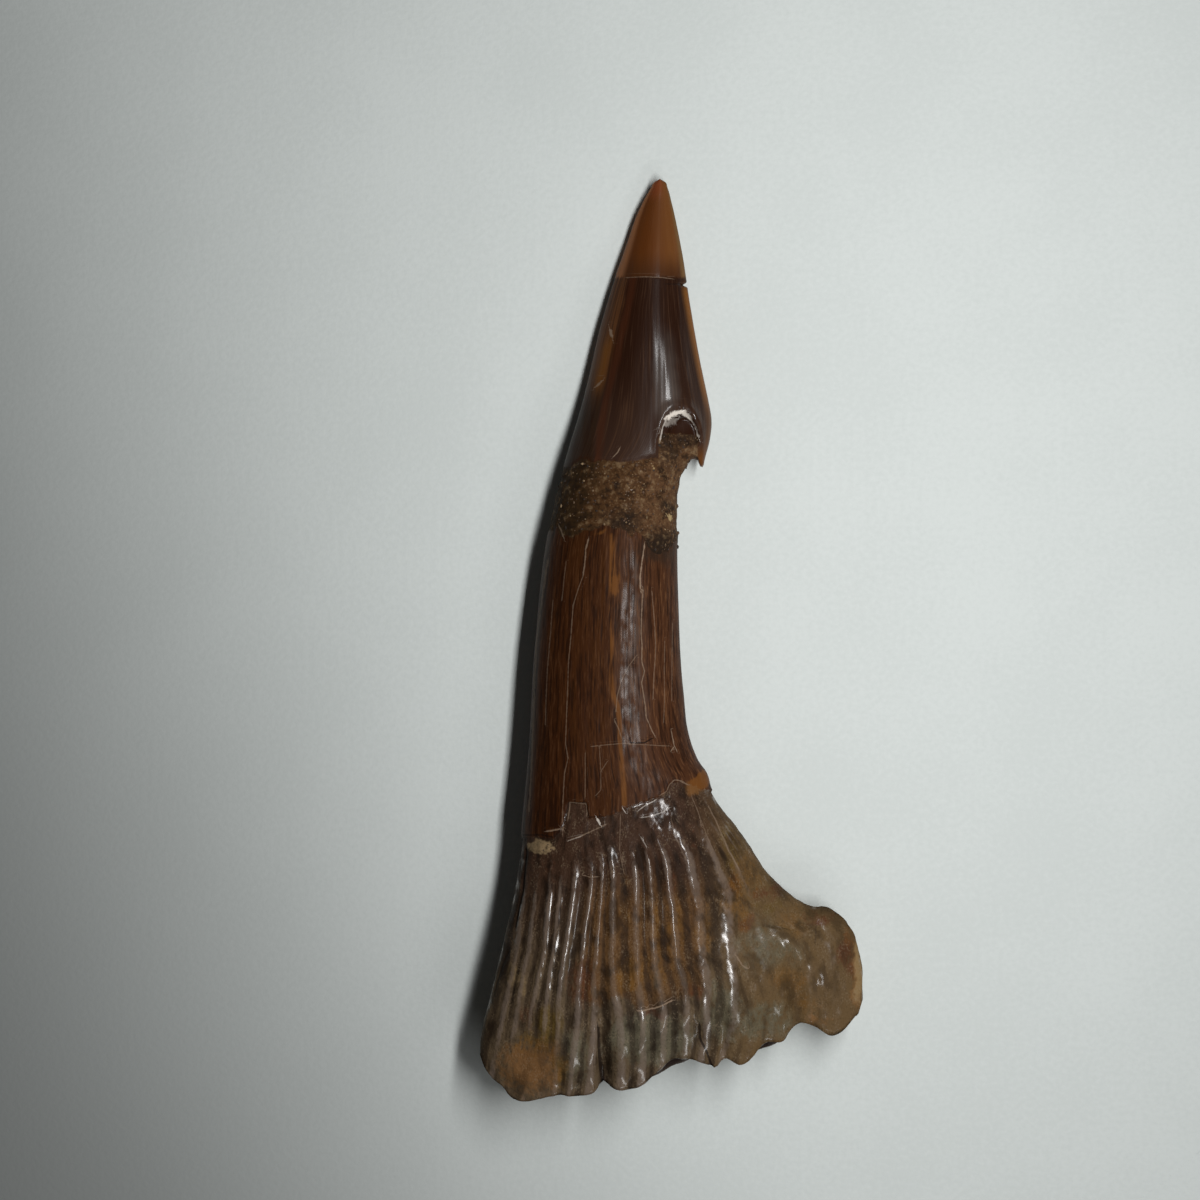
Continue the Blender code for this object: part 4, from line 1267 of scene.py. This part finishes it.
@dataclass
class FossilTooth:
    """The tooth itself: its form, relief, marks and finish."""

    form: ToothForm = field(default_factory=ToothForm)
    marks: ToothMarks = field(default_factory=ToothMarks)
    finish: FossilFinish = FossilFinish()
    lay_width: float = 9.0

    def __post_init__(self) -> None:
        """Works out the places, the relief and the finished surface."""
        self.relief = ToothRelief(self.marks)
        self.places = self.form.ring_places()
        self.points, self.normals = self.surface()

    def surface(self) -> tuple[np.ndarray, np.ndarray]:
        """The skin with its relief: each point moves by the relief along the cross product of the steps to
        its neighbours along and round the tooth, and then stays within the solid's box.

        Returns:
            The points in metres and the unit normals, as rings by columns by 3.
        """
        at = self.places
        base = np.stack([at.across - self.form.middle[0], -at.down - self.form.middle[1], at.height], axis=2)
        normals = self.unit_normals(base)
        relief = self.relief.total(at)
        points = (base + relief[..., None] * normals) * MM
        points[..., 2] = np.maximum(points[..., 2], 0.0)
        points = within_box(points)
        return points, self.unit_normals(points)

    def unit_normals(self, points: np.ndarray) -> np.ndarray:
        """The unit cross product of the steps along and round the tooth at each point."""
        along = np.gradient(points, axis=0)
        around = np.roll(points, -1, axis=1) - np.roll(points, 1, axis=1)
        cross = np.cross(along, around)
        return cross / np.maximum(np.linalg.norm(cross, axis=2, keepdims=True), 1e-12)

    def masks(self) -> dict[str, np.ndarray]:
        """What the finish reads at each point, by name."""
        at, marks = self.places, self.marks
        offset, _, _ = nearest_line((marks.streak,), at.across, at.down)
        wave, _ = marks.ridge_wave(at)
        inside = marks.crown(at)
        border = read_along(marks.core_border, at.down)
        lip = bell(np.hypot(at.across - 1.4, at.down - 14.2), 0.0, 1.0)
        pit = ramp(at.down, 13.5, 14.0) * (1.0 - ramp(at.down, 15.6, 16.2))
        found = {
            "enamel": marks.glazed(at),
            "core": at.across - border + 0.1 * at.noise((0.4, 2.0, 2.0), 71),
            "lip": bell(inside, 0.15, 0.3) * lip * at.on_back,
            "pit": at.on_back * ramp(-inside, 0.0, 0.12) * pit,
            "root": marks.root(at),
            "grit": self.relief.grit(at),
            "amber": marks.amber(at),
            "share": at.share,
            "low": ramp(at.down, 41.0, 49.0),
            "wing": ramp(at.across, 1.0, 6.0),
            "patch": marks.patch(at),
            "ridge": 0.4 + (wave**1.2 - 0.4) * marks.ridges_show(at),
            "kept": at.kept,
            "streak": (1.0 - ramp(np.abs(offset), 0.6, 1.8)) * at.on_back,
        }
        for name in ("pale", "dark", "white"):
            found[name], strength, _ = nearest_line(getattr(marks, f"{name}_lines"), at.across, at.down)
            found[f"{name}_strength"] = strength * at.on_back
        across = at.across + 0.35 * at.noise((0.9, 1.2, 3.0), 72)
        down = at.down + 0.6 * at.noise((0.9, 1.2, 3.0), 73)
        for name in ("ochre", "orange", "rust", "olive", "green_grey", "tan", "soot", "glint", "gloss"):
            found[name] = spread_of(getattr(marks, name), across, down) * (0.35 + 0.65 * at.on_back)
        return found

    def build(self) -> bpy.types.Object:
        """Makes the mesh with its masks and UV map, and dresses it.

        Returns:
            The tooth's object.
        """
        rings, columns = self.places.share.shape
        faces = self.form.faces(rings)
        used = np.unique(np.concatenate([np.array(face) for face in faces]))
        renumber = np.zeros(rings * columns, dtype=np.int64)
        renumber[used] = np.arange(len(used))
        mesh = bpy.data.meshes.new("fossil_tooth")
        points = self.points.reshape(-1, 3)[used].tolist()
        mesh.from_pydata(points, [], [tuple(renumber[list(face)]) for face in faces])
        mesh.shade_smooth()
        for name, values in self.masks().items():
            hold(mesh, name, values.reshape(-1)[used])
        corners = np.empty(len(mesh.loops), dtype=np.int64)
        mesh.loops.foreach_get("vertex_index", corners)
        lay = np.stack([self.places.share * self.lay_width, self.places.station], axis=2).reshape(-1, 2)[used]
        uv = mesh.uv_layers.new(name="lay")
        uv.uv.foreach_set("vector", lay[corners].astype(np.float32).reshape(-1))
        mesh.materials.append(self.finish.make())
        tooth = show("fossil_tooth", mesh)
        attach(tooth, "root")
        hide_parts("tooth")
        LOG.info("fossil tooth: %d rings, %d points, %d faces", rings, len(used), len(faces))
        return tooth


@dataclass(frozen=True)
class GrainFinish:
    """Grains of sand from nearly black through brown to pale quartz."""

    dark: Pigment = pigment(46, 33, 25)
    brown: Pigment = pigment(92, 68, 50)
    pale: Pigment = pigment(140, 116, 84)

    def make(self) -> bpy.types.Material:
        """Each grain takes its shade from the mesh's own attribute, with a finer mottle on it.

        Returns:
            The material.
        """
        desk = Desk("matrix_grains")
        mottle = desk.speckle((0.08,) * 3, 2.0, 0.4)
        shade = desk.mask("shade") + 0.3 * (mottle - 0.5)
        brown, pale = desk.step(shade, 0.2, 0.65), desk.step(shade, 0.72, 1.0)
        colour = desk.coats(self.dark, (brown, self.brown), (pale, self.pale))
        return desk.finish(Layer(colour, 0.62 + 0.25 * mottle, 0.02 * mottle))


@dataclass
class MatrixGrit:
    """Loose-looking crumbs of matrix that still cling to the neck, to the pit and below the shaft."""

    count: int = 460
    smallest: float = 0.035
    largest: float = 0.11
    sunk: float = 0.9
    seed: int = 11
    # Lone grains that stand out from the neck's right edge: (across, down).
    lone: tuple[tuple[float, float], ...] = ((1.12, 19.8), (1.1, 21.45), (1.12, 22.2), (1.9, 17.6))
    finish: GrainFinish = GrainFinish()

    def ball(self) -> tuple[np.ndarray, np.ndarray]:
        """An icosahedron: the 12 corners (0, +-1, +-golden ratio) and their turns, over its 20 faces."""
        g = (1.0 + math.sqrt(5.0)) / 2.0
        corners = np.array([
            (-1, g, 0), (1, g, 0), (-1, -g, 0), (1, -g, 0), (0, -1, g), (0, 1, g),
            (0, -1, -g), (0, 1, -g), (g, 0, -1), (g, 0, 1), (-g, 0, -1), (-g, 0, 1),
        ]) / math.hypot(1.0, g)
        faces = np.array([
            (0, 11, 5), (0, 5, 1), (0, 1, 7), (0, 7, 10), (0, 10, 11), (1, 5, 9), (5, 11, 4), (11, 10, 2),
            (10, 7, 6), (7, 1, 8), (3, 9, 4), (3, 4, 2), (3, 2, 6), (3, 6, 8), (3, 8, 9), (4, 9, 5),
            (2, 4, 11), (6, 2, 10), (8, 6, 7), (9, 8, 1),
        ])
        return corners, faces

    def build(self, tooth: FossilTooth) -> bpy.types.Object:
        """Strews the grains. A grain is the ball with each corner pulled in or out by a quarter, squashed
        unevenly, and sunk into the tooth by a share of its radius.

        Args:
            tooth: the tooth that they cling to.

        Returns:
            The grains' object.
        """
        draw = np.random.default_rng(self.seed)
        chance = (tooth.relief.grit(tooth.places) * tooth.places.kept).reshape(-1) ** 2
        chance = chance * np.where(tooth.places.on_back.reshape(-1) > 0.5, 1.0, 0.7)
        picked = draw.choice(len(chance), self.count, replace=False, p=chance / chance.sum())
        for number, (across, down) in enumerate(self.lone):
            picked[number] = np.hypot(tooth.places.across - across, tooth.places.down - down).argmin()
        points, normals = tooth.points.reshape(-1, 3)[picked], tooth.normals.reshape(-1, 3)[picked]
        radius = (self.smallest + (self.largest - self.smallest) * draw.random(self.count) ** 2.5) * MM
        radius[: len(self.lone)] = 1.3 * self.largest * MM
        corners, faces = self.ball()
        shape = corners[None] * (0.75 + 0.5 * draw.random((self.count, 12, 1)))
        shape = shape * (0.7 + 0.6 * draw.random((self.count, 1, 3))) * radius[:, None, None]
        places = points[:, None] + normals[:, None] * (radius * (0.5 - self.sunk))[:, None, None] + shape
        places = within_box(places)
        numbers = faces[None] + 12 * np.arange(self.count)[:, None, None]
        mesh = bpy.data.meshes.new("matrix_grit")
        mesh.from_pydata(places.reshape(-1, 3).tolist(), [], numbers.reshape(-1, 3).tolist())
        hold(mesh, "shade", np.repeat(draw.random(self.count), 12))
        mesh.materials.append(self.finish.make())
        grit = show("matrix_grit", mesh)
        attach(grit, "root")
        LOG.info("matrix grit: %d grains", self.count)
        return grit


@dataclass(frozen=True)
class Lamp:
    """One strip light, in metres and watts, and how widely it fans out, in degrees."""

    name: str
    place: Triple
    aim: Triple
    power: float
    width: float
    length: float
    spread: float = 115.0

    def build(self) -> bpy.types.Object:
        """Makes the light and points it at its aim, its length across the line of sight.

        Returns:
            The light's object.
        """
        data = bpy.data.lights.new(self.name, "AREA")
        data.energy = self.power
        data.shape = "RECTANGLE"
        data.size, data.size_y = self.length, self.width
        data.spread = math.radians(self.spread)
        lamp = show(self.name, data)
        lamp.location = self.place
        lamp.visible_camera = False
        lamp.rotation_euler = Vector(np.subtract(self.aim, self.place)).to_track_quat("-Z", "Y").to_euler()
        return lamp


@dataclass(frozen=True)
class PaperFinish:
    """Pale uncoated paper with painted shade that greys it towards one corner."""

    paper: Pigment = (0.74, 0.785, 0.765, 1.0)
    shade: Pigment = (0.70, 0.745, 0.725, 1.0)
    # The colour of the painted shade at the corner.
    corner: Pigment = (0.30, 0.316, 0.308, 1.0)
    way_to_corner: Triple = (-1.0, -0.5, 0.0)

    def make(self) -> bpy.types.Material:
        """A faint cloudiness, the fine tooth of the sheet and the painted shade towards the corner.

        Returns:
            The material.
        """
        desk = Desk("pale_paper")
        clouds, fibres = desk.speckle((9.0,) * 3, 4.0, 0.7), desk.speckle((0.35, 0.3, 0.3), 3.0, 3.3)
        way = {0: desk.place, 1: self.way_to_corner}
        lean = desk.add("ShaderNodeVectorMath", {"operation": "DOT_PRODUCT"}, way).outputs["Value"]
        cloudy = desk.step(0.5 * clouds + 0.5 * fibres, 0.35, 0.65)
        painted_shade_near_corner = desk.step(Wire(desk, lean), 6.0, 62.0)
        colour = desk.coats(self.paper, (cloudy, self.shade), (painted_shade_near_corner, self.corner))
        return desk.finish(Layer(colour, 0.75 + 0.1 * fibres, 0.02 * fibres))


@dataclass
class Studio:
    """The pale sheet, the lights and the camera that looks straight down."""

    half_size: float = 0.4
    squares: int = 8
    gap: float = 0.00002
    eye_height: float = 0.3029
    eye: tuple[float, float] = (-0.00429, 0.002235)
    view_half_width: float = 36.0
    eye_distance: float = 300.0
    sensor: float = 36.0
    lamps: tuple[Lamp, ...] = (
        Lamp("key", (0.034, 0.015, 0.106), (0.006, 0.018, 0.0), 0.05, 0.012, 0.112),
        Lamp("low_strip", (0.052, -0.1, 0.09), (0.0, -0.02, 0.0), 0.011, 0.012, 0.1),
    )
    glow: Pigment = (1.0, 0.98, 0.95, 1.0)
    glow_strength: float = 0.028
    finish: PaperFinish = PaperFinish()

    def build(self) -> None:
        """Makes the sheet, the lights, the soft surroundings and the camera."""
        self.sheet()
        for lamp in self.lamps:
            lamp.build()
        world = bpy.data.worlds.new("studio")
        world.use_nodes = True
        glow = world.node_tree.nodes["Background"].inputs
        glow["Color"].default_value, glow["Strength"].default_value = self.glow, self.glow_strength
        bpy.context.scene.world = world
        bpy.context.scene.view_settings.view_transform = "Standard"
        self.camera()
        LOG.info("studio: sheet, %d lights, camera", len(self.lamps))

    def sheet(self) -> None:
        """A flat grid of squares just under the tooth."""
        x, y = np.meshgrid(*[np.linspace(-self.half_size, self.half_size, self.squares + 1)] * 2)
        points = np.stack([x, y, np.full_like(x, -self.gap)], axis=2).reshape(-1, 3)
        n = np.arange(x.size).reshape(x.shape)
        faces = np.stack([n[:-1, :-1], n[:-1, 1:], n[1:, 1:], n[1:, :-1]], axis=2).reshape(-1, 4)
        mesh = bpy.data.meshes.new("pale_sheet")
        mesh.from_pydata(points.tolist(), [], faces.tolist())
        mesh.materials.append(self.finish.make())
        sheet = show("pale_sheet", mesh)

    def camera(self) -> None:
        """Looks straight down, the tooth's tip towards the top of the picture."""
        data = bpy.data.cameras.new("camera")
        data.sensor_width = self.sensor
        data.lens = 0.5 * self.sensor * self.eye_distance / self.view_half_width
        data.clip_start, data.clip_end = 0.01, 5.0
        camera = show("camera", data)
        camera.location = (*self.eye, self.eye_height)
        bpy.context.scene.camera = camera


def main() -> None:
    """Builds the tooth, its grit and the studio."""
    logging.basicConfig(level=logging.INFO, format="%(name)s: %(message)s")
    tooth = FossilTooth()
    tooth.build()
    MatrixGrit().build(tooth)
    Studio().build()


if __name__ == "__main__":
    main()
